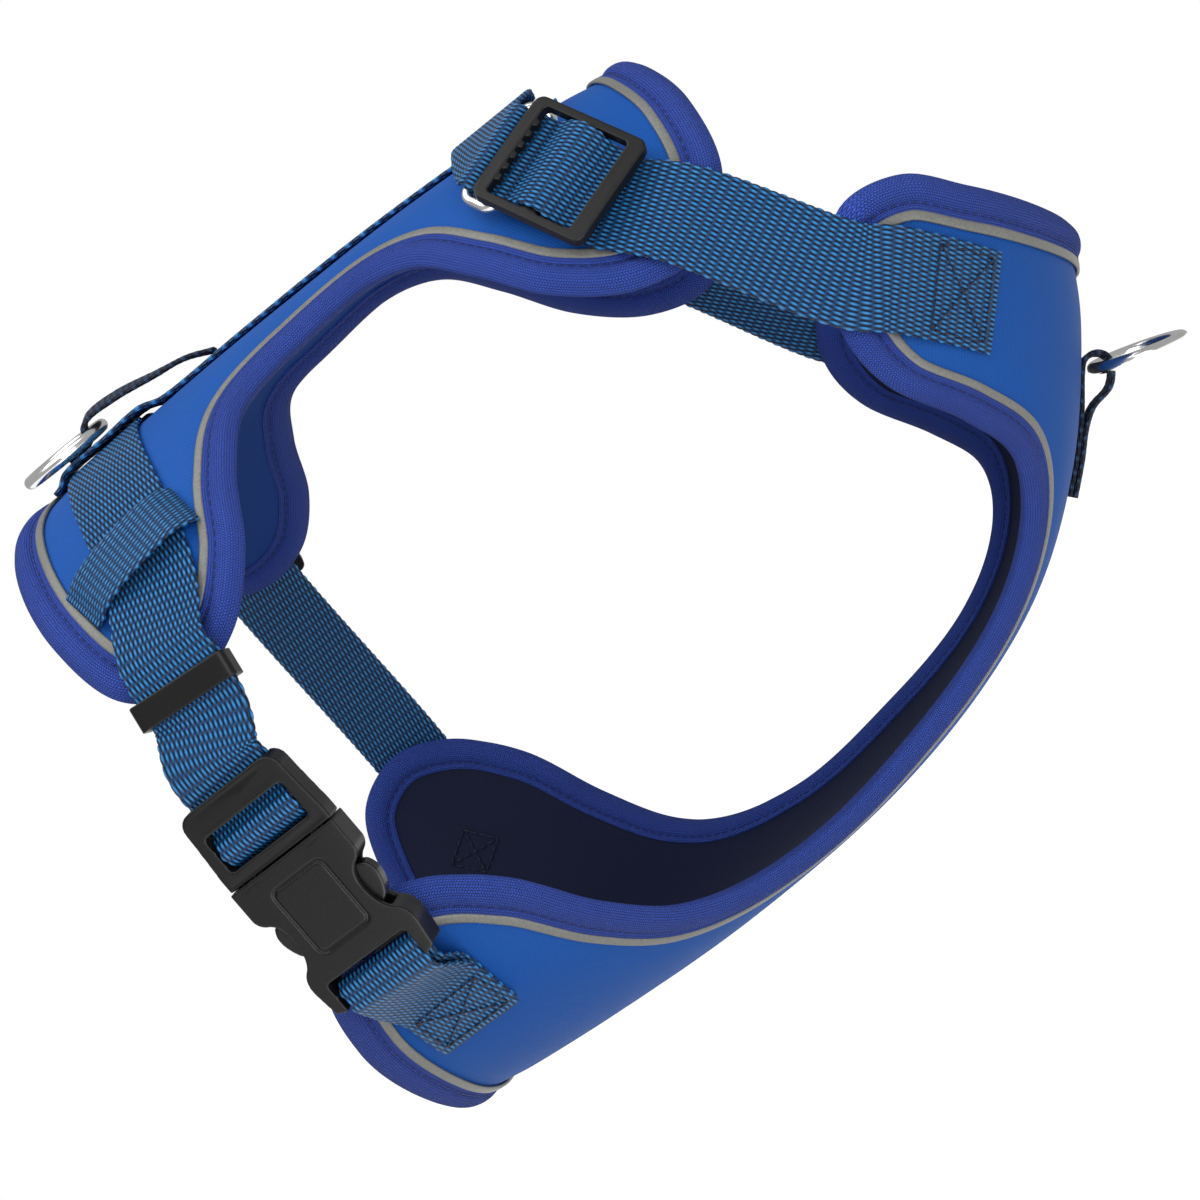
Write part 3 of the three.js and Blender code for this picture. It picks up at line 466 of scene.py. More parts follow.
def webbing(name, dark, body, light, roughness=0.36):
    """Nylon webbing: short warp floats side by side over each rib, each rib half a float along."""
    n = Nodes(name, body, roughness, Specular_IOR_Level=0.4)
    u, v = n.cloth()
    height, across = float_height(n, u, v)
    strands = n.math("SINE", n.math("MULTIPLY", across, 31.0))
    rise = n.math("MULTIPLY_ADD", strands, 0.06, height)
    # painted shade and highlight: the dips between floats take the near-black first colour as painted shade,
    # and the float tops take the pale last colour as a painted glint
    tint = n.ramp(rise, (0.3, dark), (0.55, tuple(0.4 * c for c in body)), (0.82, body), (1.0, light))
    n.color(n.varied(tint, 0.1, 60.0))
    n.roughness(n.math("MULTIPLY_ADD", rise, -0.14, roughness + 0.12))
    n.bump(rise, 0.0006, 1.0)
    return n.material


def knit(name, color, shade, pitch=1.0):
    """Binding knit: slanting ribs that change direction from course to course."""
    n = Nodes(name, color, 0.82, Specular_IOR_Level=0.25, Sheen_Weight=0.05, Sheen_Roughness=0.5)
    u, v = n.cloth()
    course = n.math("MODULO", n.math("FLOOR", u), 2.0)
    lean = n.math("MULTIPLY_ADD", course, 1.3, -0.65)
    slant = n.math("ADD", n.math("MULTIPLY", v, pitch), n.math("MULTIPLY", n.math("FRACT", u), lean))
    loops = n.math("MULTIPLY", arch(n, n.math("FRACT", slant), 2.0), arch(n, n.math("FRACT", u), 4.0))
    # painted shade and highlight: the shade colour fills the dips between knit loops, and the loop crests are
    # lightened to 1.3 times the colour as a painted highlight
    middle, crest_highlight = tuple(0.8 * c for c in color), tuple(1.3 * c for c in color)
    tint = n.ramp(loops, (0.05, shade), (0.5, middle), (0.95, crest_highlight))
    n.color(n.varied(tint, 0.07, 45.0))
    n.roughness(n.math("MULTIPLY_ADD", n.noise(900.0), 0.2, 0.72))
    n.bump(loops, 0.0005, 1.0)
    return n.material


def jersey(name, color, relief=0.00006):
    """Neoprene's fine stretch face."""
    n = Nodes(name, color, 0.7, Specular_IOR_Level=0.25, Sheen_Weight=0.04, Sheen_Roughness=0.45)
    u, v = n.cloth()
    rows = n.math("SINE", n.math("MULTIPLY", n.math("ADD", u, n.math("MULTIPLY", v, 0.45)), 2 * math.pi))
    wales = n.math("SINE", n.math("MULTIPLY", v, 2 * math.pi))
    stitches = n.math("MULTIPLY", n.math("ADD", rows, wales), 0.25)
    grain = n.math("MULTIPLY_ADD", n.noise(2600.0, 4.0), 1.2, stitches)
    tint = n.ramp(grain, (0.0, tuple(0.72 * c for c in color)), (1.0, tuple(1.16 * c for c in color)))
    n.color(n.varied(tint, 0.06, 25.0))
    n.roughness(n.math("MULTIPLY_ADD", grain, 0.14, 0.6))
    n.bump(grain, relief, 0.8)
    return n.material


def tape():
    n = Nodes("reflective_tape", (0.2, 0.2, 0.185), 0.42, Specular_IOR_Level=0.6)
    grain = n.noise(1500.0, 4.0)
    tint = n.ramp(grain, (0.3, (0.17, 0.17, 0.155)), (0.7, (0.25, 0.25, 0.23)))
    n.color(n.varied(tint, 0.12, 120.0))
    n.roughness(n.math("MULTIPLY_ADD", grain, 0.3, 0.3))
    n.bump(grain, 0.00005, 0.7)
    return n.material


def thread(name, color):
    n = Nodes(name, color, 0.6)
    u, v = n.cloth()
    twist = n.math("SINE", n.math("MULTIPLY", n.math("ADD", n.math("MULTIPLY", v, 1.0), u), 2 * math.pi))
    n.color(n.ramp(twist, (0.0, tuple(0.5 * c for c in color)), (0.9, color)))
    n.roughness(n.math("MULTIPLY_ADD", twist, 0.08, 0.55))
    n.bump(twist, 0.00005, 0.8)
    return n.material


def moulded(name, color, roughness, grain_size=1400.0, relief=0.00005):
    n = Nodes(name, color, roughness, Specular_IOR_Level=0.34)
    grain = n.noise(grain_size, 5.0, 0.65)
    wear = n.noise(70.0, 3.0)
    n.color(n.ramp(grain, (0.25, tuple(0.8 * c for c in color)), (0.8, tuple(1.35 * c for c in color))))
    grainy = n.math("MULTIPLY_ADD", grain, 0.16, roughness - 0.1)
    n.roughness(n.math("MULTIPLY_ADD", wear, 0.1, grainy))
    n.bump(grain, relief, 0.7)
    return n.material


def plated():
    n = Nodes("plated_steel", (0.86, 0.86, 0.85), 0.14, 1.0)
    wear = n.noise(160.0, 5.0, 0.7)
    n.color(n.ramp(wear, (0.3, (0.76, 0.76, 0.75)), (0.7, (0.92, 0.92, 0.91))))
    n.roughness(n.math("MULTIPLY_ADD", wear, 0.2, 0.08))
    n.bump(wear, 0.00002, 0.5)
    return n.material


# Each webbing's first colour is painted shade for the gaps between floats and its last colour is a painted
# glint on the float tops
WEBBING = webbing("blue_webbing", (0.0006, 0.004, 0.02), (0.012, 0.15, 0.45), (0.06, 0.4, 0.85))
TAB_WEBBING = webbing("navy_webbing", (0.001, 0.002, 0.008), (0.006, 0.02, 0.065), (0.025, 0.085, 0.19), 0.5)
KNIT = knit("binding_knit", (0.044, 0.11, 0.62), (0.014, 0.042, 0.27))
OUTER = jersey("neoprene_outer", (0.002, 0.1, 0.46))
# One lining fabric in two copies: the back copy is the lit one, and the chest copy is about eight times
# darker, as painted shade for the inside of the chest and belly pieces
BACK_LINING = jersey("back_lining", (0.002, 0.05, 0.27))
SHADED_CHEST_LINING = jersey("shaded_chest_lining", (0.001, 0.006, 0.036))
TAPE = tape()
DARK_THREAD = thread("dark_thread", (0.006, 0.012, 0.05))
BLUE_THREAD = thread("blue_thread", (0.016, 0.045, 0.27))
PLASTIC = moulded("black_plastic", (0.005, 0.005, 0.0049), 0.34)
GLOSSY_PLASTIC = moulded("prong_plastic", (0.0085, 0.0085, 0.0085), 0.22, 700.0, 0.00002)
STEEL = plated()


# ---- Pads, bindings, piping and their stitches -----------------------------------------------
def whole_outline(outline, half_count):
    """The whole outline: the right half from end to end, then the left half back again."""
    half = spaced(smooth(outline), half_count)
    return np.vstack([half * vec(1, -1), half[::-1]])


def inset(loop, by):
    along = unit(np.roll(loop, -1, 0) - np.roll(loop, 1, 0))
    return loop + np.stack([-along[:, 1], along[:, 0]], 1) * np.asarray(by)[..., None]


def edge_swept(name, skin, loop, section, cell):
    """A closed section of (inset from the edge, off the inner face), carried round the edge."""
    columns = [lifted(skin, *inset(loop, d).T, off) for d, off in section]
    grid = np.stack(columns, 1)
    around = lengths(np.vstack([section, section[:1]])) / cell[0]
    along = lengths(np.vstack([grid[:, 0], grid[:1, 0]]))
    along = along / along[-1] * round(along[-1] / cell[1])
    return swept(name, grid, around, along, closed=True)


def binding_section():
    """Half of the rolled edge, from its inner lip over the outer face to the edge, then mirrored."""
    top, width, swell = PAD_THICK, BINDING_WIDTH, BINDING_SWELL
    half = [
        (width, top - 0.3 * MM), (width + 0.05 * MM, top + 0.35 * MM), (width - 0.5 * MM, top + 0.75 * MM),
        (width - 1.2 * MM, top + 0.7 * MM), (width - STITCH_INSET, top + 0.3 * MM),
        (width - 3.0 * MM, top + 0.8 * swell), (0.5 * width, top + 1.15 * swell),
        (0.27 * width, top + 0.95 * swell), (0.1 * width, top + 0.1 * swell), (0.0, top * 0.72),
    ]
    mirrored = [(d, top - off) for d, off in half[::-1]]
    rounded = smooth(half + [(-0.02 * width, top / 2)] + mirrored, 4)
    return np.vstack([rounded, [(3 * MM, 0.35 * MM), (3 * MM, top - 0.35 * MM)]])


def flat_section(low, high, foot, tall, count=14, power=0.55):
    angle = np.linspace(0, 2 * math.pi, count, endpoint=False)
    c, s = np.cos(angle), np.sin(angle)
    across = (low + high) / 2 + (high - low) / 2 * np.sign(c) * np.abs(c) ** power
    return np.stack([across, foot + tall / 2 + tall / 2 * np.sign(s) * np.abs(s) ** power], 1)


def distance_to(loop, points):
    return np.sqrt(((points[:, None, :] - loop[None, ::2, :]) ** 2).sum(-1)).min(1)


def pad_mesh(name, skin, outline, half_count, rows):
    """A padded panel: an outer and an inner face from the edge in to the middle strip, and its rim."""
    loop = whole_outline(outline, half_count)
    rim = inset(loop, 2.4 * MM)
    ends = sorted((outline[0][0], outline[-1][0]))
    middle_u = np.clip(rim[:, 0], ends[0] + 3 * MM, ends[1] - 3 * MM)
    middle = np.stack([middle_u, np.sign(rim[:, 1]) * SPINE_FLAT], 1)
    share = np.linspace(0, 1, rows)[:, None, None] ** 1.25
    flat = (rim + (middle - rim) * share).transpose(1, 0, 2)          # station, row, (u, s)
    right, left = flat[:half_count], flat[half_count:][::-1]
    sheet = np.concatenate([right, left[:, ::-1]], 1)                   # across the panel, edge to edge
    count, across = sheet.shape[:2]
    uv = sheet.reshape(-1, 2)
    edge = distance_to(loop, uv)
    swell = np.clip((edge - BINDING_WIDTH) / 0.012, 0, 1)
    crown = 0.0007 * swell * swell * (3 - 2 * swell) - 0.0003
    top = lifted(skin, uv[:, 0], uv[:, 1], PAD_THICK + crown)
    bottom = lifted(skin, uv[:, 0], uv[:, 1], -0.3 * crown)
    quads = [(i * across + j, i * across + j + 1, (i + 1) * across + j + 1, (i + 1) * across + j)
             for i in range(count - 1) for j in range(across - 1)]
    shift = count * across
    border = ([j for j in range(across)] + [i * across + across - 1 for i in range(1, count)]
              + [(count - 1) * across + j for j in range(across - 2, -1, -1)]
              + [i * across for i in range(count - 2, 0, -1)])
    walls = [(a, b, b + shift, a + shift) for a, b in zip(border, border[1:] + border[:1])]
    faces = quads + [tuple(i + shift for i in f[::-1]) for f in quads] + walls
    cells = np.vstack([uv, uv]) / (0.9 * MM)
    uvs = [cells[i] for f in faces for i in f]
    pad = mesh_object(name, np.vstack([top, bottom]), faces, uvs)
    pad.data.polygons.foreach_set("material_index", [0] * len(quads) + [1] * len(quads) + [0] * len(walls))
    pinned = np.tile(edge < BINDING_WIDTH + MM, 2)
    sewn = pad.vertex_groups.new(name="sewn")
    sewn.add([int(i) for i in np.flatnonzero(pinned)], 1.0, "REPLACE")
    return pad


def puffed(pad, pressure=1.6, frames=14, cap=0.0009):
    """Lets the foam push the faces out between the sewn edges, as cloth under light pressure."""
    start = np.array([v.co for v in pad.data.vertices], float)
    modifier = pad.modifiers.new("Cloth", "CLOTH")
    cloth = modifier.settings
    cloth.use_pressure = True
    cloth.uniform_pressure_force = pressure
    cloth.vertex_group_mass = "sewn"
    cloth.quality = 6
    cloth.mass = 0.3
    cloth.tension_stiffness = cloth.compression_stiffness = 40
    cloth.bending_stiffness = 8
    cloth.effector_weights.gravity = 0
    modifier.collision_settings.use_collision = False
    scene = bpy.context.scene
    for number in range(1, frames + 1):
        scene.frame_set(number)
    applied(pad)
    scene.frame_set(1)
    end = np.array([v.co for v in pad.data.vertices], float)
    move = end - start
    size = np.linalg.norm(move, axis=1, keepdims=True)
    move *= np.minimum(1, cap / np.maximum(size, 1e-9))
    pad.data.vertices.foreach_set("co", (start + move).astype(np.float32).ravel())
    pad.data.update()
    return pad


def stitch_row(name, line, normals, step, length, radius, material, body="root"):
    """A row of separate stitches along a line that lies on a surface."""
    at = lengths(line)
    middles = np.arange(step / 2, at[-1], step)
    reach = np.linspace(-0.5, 0.5, 5)
    turns = np.linspace(0, 2 * math.pi, 6, endpoint=False)
    points, faces, uvs = [], [], []
    for middle in middles:
        where = middle + reach * length
        spot = np.stack([np.interp(where, at, line[:, k]) for k in range(3)], 1)
        out = unit(vec(*[np.interp(middle, at, normals[:, k]) for k in range(3)]))
        along = unit(spot[-1] - spot[0])
        side = np.cross(along, out)
        bow = 1 - (2 * reach) ** 2
        fat = radius * (0.45 + 0.55 * bow)
        centre = spot + out * (radius * (1.1 * bow - 0.35))[:, None]
        ring = (centre[:, None] + side * (np.cos(turns) * fat[:, None])[..., None]
                + out * (np.sin(turns) * fat[:, None])[..., None])
        base = len(points) * 30
        points.append(ring.reshape(-1, 3))
        for i in range(4):
            for j in range(6):
                k = (j + 1) % 6
                faces.append((base + 6 * i + j, base + 6 * i + k, base + 6 * i + 6 + k, base + 6 * i + 6 + j))
                uvs += [(j / 6, i), (j / 6 + 1 / 6, i), (j / 6 + 1 / 6, i + 1), (j / 6, i + 1)]
        faces += [tuple(range(base + 5, base - 1, -1)), tuple(range(base + 24, base + 30))]
        uvs += [(j / 6, 0) for j in range(6)] + [(j / 6, 4) for j in range(6)]
    return finished(mesh_object(name, np.vstack(points), faces, uvs), body, "webbing", material)


def panel(name, skin, outline, half_count, lining):
    """One padded panel with its rolled binding, flat piping and two rows of stitches."""
    pad = pad_mesh(f"{name}_panel", skin, outline, half_count // 2, 14)
    puffed(pad)
    subdivision = pad.modifiers.new("Subdivision", "SUBSURF")
    subdivision.levels = subdivision.render_levels = 1
    finished(pad, "root", "neoprene", [OUTER, lining], f"{name}_pad")
    loop = whole_outline(outline, half_count)
    rolled = edge_swept(f"{name}_rolled_edge", skin, loop, binding_section(), (0.7 * MM, 0.62 * MM))
    finished(rolled, "root", "binding", KNIT, f"{name}_binding")
    inner_edge = BINDING_WIDTH - 0.2 * MM
    section = flat_section(inner_edge, BINDING_WIDTH + PIPING_WIDTH, PAD_THICK - 0.25 * MM, 1.15 * MM)
    piping = edge_swept(f"{name}_tape", skin, loop, section, (MM, MM))
    finished(piping, "root", "piping", TAPE, f"{name}_piping")
    seam = inset(loop, BINDING_WIDTH - STITCH_INSET)
    u, s = np.vstack([seam, seam[:1]]).T
    for face, off, side in (("outer", PAD_THICK + 0.3 * MM, 1), ("inner", -0.3 * MM, -1)):
        line, normals = lifted(skin, u, s, off), outward(skin, u, s) * side
        row = f"{name}_{face}_stitches"
        stitches = stitch_row(row, line, normals, 3.0 * MM, 2.4 * MM, 0.24 * MM, BLUE_THREAD)


panel("back", back, BACK_OUTLINE, 260, BACK_LINING)
panel("chest", chest, CHEST_OUTLINE, 340, SHADED_CHEST_LINING)


# ---- Webbing ---------------------------------------------------------------------------------
WEAVE = (1.3 * MM, 2.5 * MM)            # one float across, one rib along
WEAVE_RELIEF = 0.15 * MM


def on(skin, side, u, a, off, out_sign=1):
    u, s = vec(u), vec(side * a)
    out = outward(skin, u, np.where(s == 0, side * 1e-5, s))[0]
    return skin(u, s, off)[0], out_sign * out


def seat(point, down, out):
    """A local frame at a hard piece: x across the webbing, y up along it, z out from the body."""
    y = unit(-down)
    z = unit(out - y * (out @ y))
    return np.stack([np.cross(y, z), y, z, point], 1)


def within(frame_at, x, y, z):
    return frame_at[:, :3] @ vec(x, y, z) + frame_at[:, 3]


def flat_on(frame_at, y, z, lean=0.0, out_sign=1):
    return within(frame_at, 0, y * MM, z * MM), out_sign * unit(frame_at[:, :3] @ vec(0, lean, 1))


def turn(frame_at, y, z, radius, start, end, count=6):
    """Webbing round a bar that lies across a seat at (y, z)."""
    route = []
    for angle in np.radians(np.linspace(start, end, count + 1)):
        reach = vec(0, math.cos(angle), math.sin(angle))
        spot = vec(0, y, z) * MM + radius * reach
        route.append((within(frame_at, *spot), frame_at[:, :3] @ reach))
    return route


def moved(route, by):
    return [(at + by * out, out) for at, out in route]


def route_frames(route, step):
    """Evenly spaced places along a route, each with the ways along, across and out."""
    span = 24
    at = smooth([r[0] for r in route], span)
    out = smooth([r[1] * 0.01 for r in route], span)
    where = lengths(at)
    count = max(4, round(where[-1] / step)) + 1
    want = np.linspace(0, where[-1], count)

    def sampled(values):
        return np.stack([np.interp(want, where, values[:, k]) for k in range(3)], 1)

    at_even, out_even = sampled(at), sampled(out)
    along = unit(np.gradient(at_even, axis=0))
    out_even = unit(out_even - along * (out_even * along).sum(1, keepdims=True))
    across = np.cross(along, out_even)
    if len(route[0]) > 2:
        across = unit(sampled(smooth([r[2] * 0.01 for r in route], span)))
    return at_even, along, across, out_even, want


def woven(name, route, width, thick=WEB_THICK, cell=WEAVE, relief=WEAVE_RELIEF, ribs=0.0):
    """A strap of webbing with its floats raised on both faces and a beaded edge."""
    at, _, across, out, want = route_frames(route, cell[1] / 3)
    cells = max(4, round(width / cell[0]))
    x = np.linspace(-0.5, 0.5, 2 * cells + 1)
    rib = np.arange(len(want))
    row, phase = rib // 3, rib % 3
    columns = np.arange(2 * cells + 1)
    raised = (columns[None] + row[:, None]) % 2
    height = np.where(phase[:, None] == 0, 0.58, 0.95 * raised)
    height = height + ribs * np.where(phase == 0, -1.0, 0.6)[:, None]
    bead = np.where(phase == 0, -0.12, 0.08 + 0.1 * (row % 2)) * MM
    reach = x[None] * width + np.sign(x)[None] * (np.abs(x) == 0.5)[None] * bead[:, None]
    edge = np.clip((0.5 - np.abs(x)) * width / (0.9 * MM), 0, 1)
    half = thick / 2 * (0.62 + 0.38 * np.sqrt(edge))[None] + relief * (height - 0.6) * edge[None]
    face = at[:, None] + across[:, None] * reach[..., None] + out[:, None] * half[..., None]
    under = at[:, None] + across[:, None] * reach[..., None] - out[:, None] * half[..., None]
    right_edge = at + across * (width / 2 + 0.16 * MM + bead)[:, None]
    left_edge = at - across * (width / 2 + 0.16 * MM + bead)[:, None]
    grid = np.concatenate([face, right_edge[:, None], under[:, ::-1], left_edge[:, None]], 1)
    u = np.concatenate([columns / 2, [cells + 0.25], columns[::-1] / 2, [-0.25, 0]])
    return swept(name, grid, u, np.append(rib, len(rib)) / 3)


def strap(name, route, width, body, node, material=None, slot="webbing", **settings):
    return finished(woven(name, route, width, **settings), body, slot, material or WEBBING, node)


def sewn_box(name, route, width, near, far, face=1):
    """A sewn rectangle and its diagonals, between two distances from the start of a strap."""
    at, _, across, out, want = route_frames(route, MM)
    half = width / 2 - 2.2 * MM
    rise = WEB_THICK / 2 + 0.4 * WEAVE_RELIEF
    paths = ([(-half, far), (-half, near), (half, near), (half, far), (-half, far), (half, near)],
             [(-half, near), (half, far)])
    for part, path in zip("ab", paths):
        x, along = spaced(np.array(path), step=0.4 * MM).T

        def sampled(values):
            return np.stack([np.interp(along, want, values[:, k]) for k in range(3)], 1)

        normals = sampled(out) * face
        line = sampled(at) + sampled(across) * x[:, None] + normals * rise
        stitch_row(f"{name}_{part}", line, normals, 2.9 * MM, 2.5 * MM, 0.3 * MM, DARK_THREAD)


SPINE_OVER = OVER_WEB + 0.6 * MM
SPINE_ROUTE = [
    (-0.0895, ON_PAD), (-0.087, ON_PAD + 0.5 * MM), (-0.084, SPINE_OVER), (-0.070, SPINE_OVER),
    (-0.056, SPINE_OVER), (-0.051, ON_PAD + 0.6 * MM), (-0.046, ON_PAD), (-0.020, ON_PAD), (0.020, ON_PAD),
    (0.060, ON_PAD), (0.088, ON_PAD),
]
SPINE_LINE = [on(back, RIGHT, u, 0, off) for u, off in SPINE_ROUTE]
strap("spine_strap", SPINE_LINE, GIRTH_WEB, "root", "spine_webbing")

RING_RADIUS, RING_WIRE = 12.9 * MM, 1.8 * MM
RING_CLEAR = RING_WIRE + 1.5 * MM
BACK_RING_X = -0.0693
BACK_RING_OFF = SPINE_OVER + WEB_THICK / 2 + RING_CLEAR
ARCH_TOP = BACK_RING_OFF + RING_CLEAR + WEB_THICK / 2
ARCH_REAR = BACK_RING_X - RING_CLEAR - WEB_THICK / 2
TAB_FOOT = SPINE_OVER + WEB_THICK + 2 * GAP
BACK_TAB_ROUTE = [
    (ARCH_REAR - 8 * MM, TAB_FOOT, 0), (ARCH_REAR - 3 * MM, TAB_FOOT, 0),
    (ARCH_REAR, TAB_FOOT + 2.2 * MM, -1.3), (ARCH_REAR + 0.6 * MM, ARCH_TOP - 1.6 * MM, -1),
    (ARCH_REAR + 3.4 * MM, ARCH_TOP + 0.2 * MM, -0.3),
    (-0.060, ARCH_TOP - 0.4 * MM, 0.1), (-0.048, ARCH_TOP - 3 * MM, 0.3), (-0.038, TAB_FOOT + 0.9 * MM, 0.2),
    (-0.030, OVER_WEB, 0),
]
TAB_WEAVE = (1.2 * MM, 2.0 * MM)


def arch_point(u, off, lean):
    """The tab stands level at its ends and leans to the right where it is high."""
    tilt = -0.18 * np.clip((off - TAB_FOOT) / (ARCH_TOP - TAB_FOOT), 0, 1)
    return back(vec(u), 0.0, off)[0], unit(worn(vec(lean, tilt, 1), u))


strap("back_leash_tab", [arch_point(*p) for p in BACK_TAB_ROUTE], TAB_WEB, "root", "leash_tab_back",
      TAB_WEBBING, "tab_webbing", cell=TAB_WEAVE)

GIRTH_CENTRE = [(-0.0695, 0.007), (-0.0695, 0.022), (-0.0688, 0.040), (-0.0682, 0.058), (-0.0696, 0.080)]
GUIDE_ARCH = [
    (-90.3, 76.3, 0), (-88.4, 76, 0.8), (-85.2, 75.5, 2.8), (-79, 74.8, 4.2), (-72, 74, 4.6),
    (-65, 73.2, 4.3), (-59, 72.6, 3.8), (-54.9, 72.2, 1.7), (-52.8, 72, 0),
]


def girth_on_pad(side):
    return [on(back, side, u, a, ON_PAD + 0.2 * MM) for u, a in GIRTH_CENTRE]


GUIDE_WEAVE = (1.1 * MM, 2.1 * MM)


def guide_loop(side, name):
    route = [on(back, side, u * MM, a * MM, ON_PAD + rise * MM) for u, a, rise in GUIDE_ARCH]
    strap(f"guide_strap_{name}", route, GUIDE_WEB, "root", f"guide_loop_{name}", cell=GUIDE_WEAVE, ribs=0.5)


guide_loop(RIGHT, "right")
guide_loop(LEFT, "left")

BUCKLE = seat(vec(-0.0822, -0.0965, -0.1196), vec(0.015, 0.03, -0.99), vec(-0.2, -0.97, -0.06))
KEEPER = seat(vec(-0.0772, -0.0914, -0.0636), vec(-0.103, -0.164, -0.981), vec(-0.106, -0.983, 0.144))
LAYER_APART = WEB_THICK + 4 * GAP
STRAP_IN_MALE = -0.8
MALE_WRAP = [
    (30, -0.8, 0), (24.4, -0.8, 0.3), (21.8, 0.8, 1), (20.2, 2.6, 0.7), (18.1, 3.15, 0), (16, 2.6, -0.7),
    (14.2, 0.6, -1.4), (13.2, -2.4, -1.2),
]
under_male = STRAP_IN_MALE - LAYER_APART / 2 / MM
doubled = [
    flat_on(KEEPER, 8, 0), flat_on(KEEPER, -7, 0),
    flat_on(BUCKLE, 38, under_male), flat_on(BUCKLE, 31, under_male),
]
main_route = [
    *girth_on_pad(RIGHT), on(back, RIGHT, -0.0726, 0.091, ON_PAD + 2.6 * MM), flat_on(KEEPER, 13, 0.1, 0.4),
    *moved(doubled, LAYER_APART / 2),
]
tail_end = STRAP_IN_MALE - LAYER_APART / MM
tail_route = [*moved(doubled, -LAYER_APART / 2), *(flat_on(BUCKLE, y, tail_end) for y in (26, 19, 12.9))]


def bending(name, route, node):
    """The strap that the buckle's male half carries away from the harness."""
    piece = woven(name, route, GIRTH_WEB)
    piece.data.materials.append(WEBBING)
    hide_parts(node)
    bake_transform(piece)


bending("girth_strap_near", main_route, "girth_strap_right")
bending("girth_strap_return", tail_route, "girth_strap_tail")
strap("buckle_turn", [flat_on(BUCKLE, *p) for p in MALE_WRAP], GIRTH_WEB, "buckle_male", "buckle_wrap")

BAR_WRAP = 3

def belly_end(side, lift, points, out_sign=1):
    """The end of a girth strap that is sewn to the belly lobe."""
    return [on(chest, side, u, a, lift + rise * MM, out_sign) for u, a, rise in points]


stub_route = [
    *belly_end(RIGHT, OVER_WEB, ((0.2914, 0.0834, 0), (0.2926, 0.092, 0), (0.294, 0.101, 0.8))),
    flat_on(BUCKLE, -34, BAR_WRAP), flat_on(BUCKLE, -30.5, BAR_WRAP),
    *turn(BUCKLE, -28.9, 0, BAR_WRAP * MM, 75, -75),
    flat_on(BUCKLE, -30.5, -BAR_WRAP, out_sign=-1), flat_on(BUCKLE, -34, -BAR_WRAP, out_sign=-1),
    *belly_end(RIGHT, ON_PAD, ((0.294, 0.103, 1), (0.2926, 0.092, 0), (0.2914, 0.0834, 0)), -1),
]
strap("buckle_anchor_strap", stub_route, GIRTH_WEB, "root", "buckle_stub")
sewn_box("buckle_anchor_stitches", stub_route, GIRTH_WEB, 2.5 * MM, 17 * MM)

left_route = [
    *girth_on_pad(LEFT), on(back, LEFT, -0.073, 0.091, ON_PAD + 1.4 * MM),
    on(back, LEFT, -0.0775, 0.103, ON_PAD + 2.4 * MM),
    *belly_end(LEFT, ON_PAD, (
        (0.294, 0.122, 2.8), (0.2935, 0.107, 1.2), (0.2925, 0.095, 0.2), (0.291, 0.080, 0))),
]
strap("girth_strap_far", left_route, GIRTH_WEB, "root", "girth_strap_left")


def through_stitches(name, side, middle, reach):
    """The far side of a sewn box: a diamond and its cross on the lining."""
    du, da = reach
    corners = [(du, 0), (0, da), (-du, 0), (0, -da), (du, 0), (-du, 0), (0, da), (0, -da)]
    flat = spaced(np.array(corners) + middle, step=0.4 * MM)
    u, s = flat[:, 0], side * flat[:, 1]
    line = lifted(chest, u, s, -0.45 * MM)
    stitch_row(name, line, -outward(chest, u, s), 2.9 * MM, 2.5 * MM, 0.3 * MM, DARK_THREAD)


through_stitches("belly_lining_stitches_left", LEFT, (0.291, 0.091), (0.009, 0.008))
through_stitches("belly_lining_stitches_right", RIGHT, (0.291, 0.091), (0.009, 0.008))

HUMP_UNDER = -2.75
STRAP_UNDER = -4.55
HUMP = [
    (7.8, -1.2, 1), (5, 0.8, 1), (2.6, 2.4, 0.6), (0, 2.95, 0), (-2.6, 2.4, -0.6), (-5.2, 0.3, -1),
    (-8, -2.2, -0.6), (-10.8, HUMP_UNDER - 0.1, 0), (-15.6, HUMP_UNDER, 0),
]
slider_off = ON_PAD + (2.3 - STRAP_UNDER) * MM
LEFT_SLIDER = seat(
    back(vec(-0.0768), 0.100, slider_off)[0],
    back(vec(-0.078), 0.106, ON_PAD)[0] - back(vec(-0.0756), 0.094, ON_PAD)[0],
    outward(back, vec(-0.0768), vec(0.100))[0],
)
over_slider = [flat_on(LEFT_SLIDER, *p) for p in HUMP]
strap("girth_slider_turn", over_slider, GIRTH_WEB, "girth_slider", "girth_slider_hump")


def neck_seat(side):
    """The adjuster's place on the straight harness, mirrored to this side and then worn."""
    down = vec(0.4, -0.365, -0.836)
    spot = straight_back(vec(0.0763), -0.060, 0.013)[0] + 8.4 * MM * down + vec(-2.9, -2.5, -0.3) * MM
    flip = vec(1, -side, 1)
    turned = [worn(v * flip, spot[0]) for v in (down, vec(0.146, -0.879, 0.454))]
    return seat(worn(spot * flip), *turned)


LOOP_LOW_BAR, LOOP_HIGH_BAR, LOOP_UNDER = 13, 22, -5.5
LOOP_WIRE = 1.5 * MM
FOLD = LOOP_WIRE + 2 * GAP + WEB_THICK / 2
NECK_SEATS = {"right": (RIGHT, neck_seat(RIGHT)), "left": (LEFT, neck_seat(LEFT))}


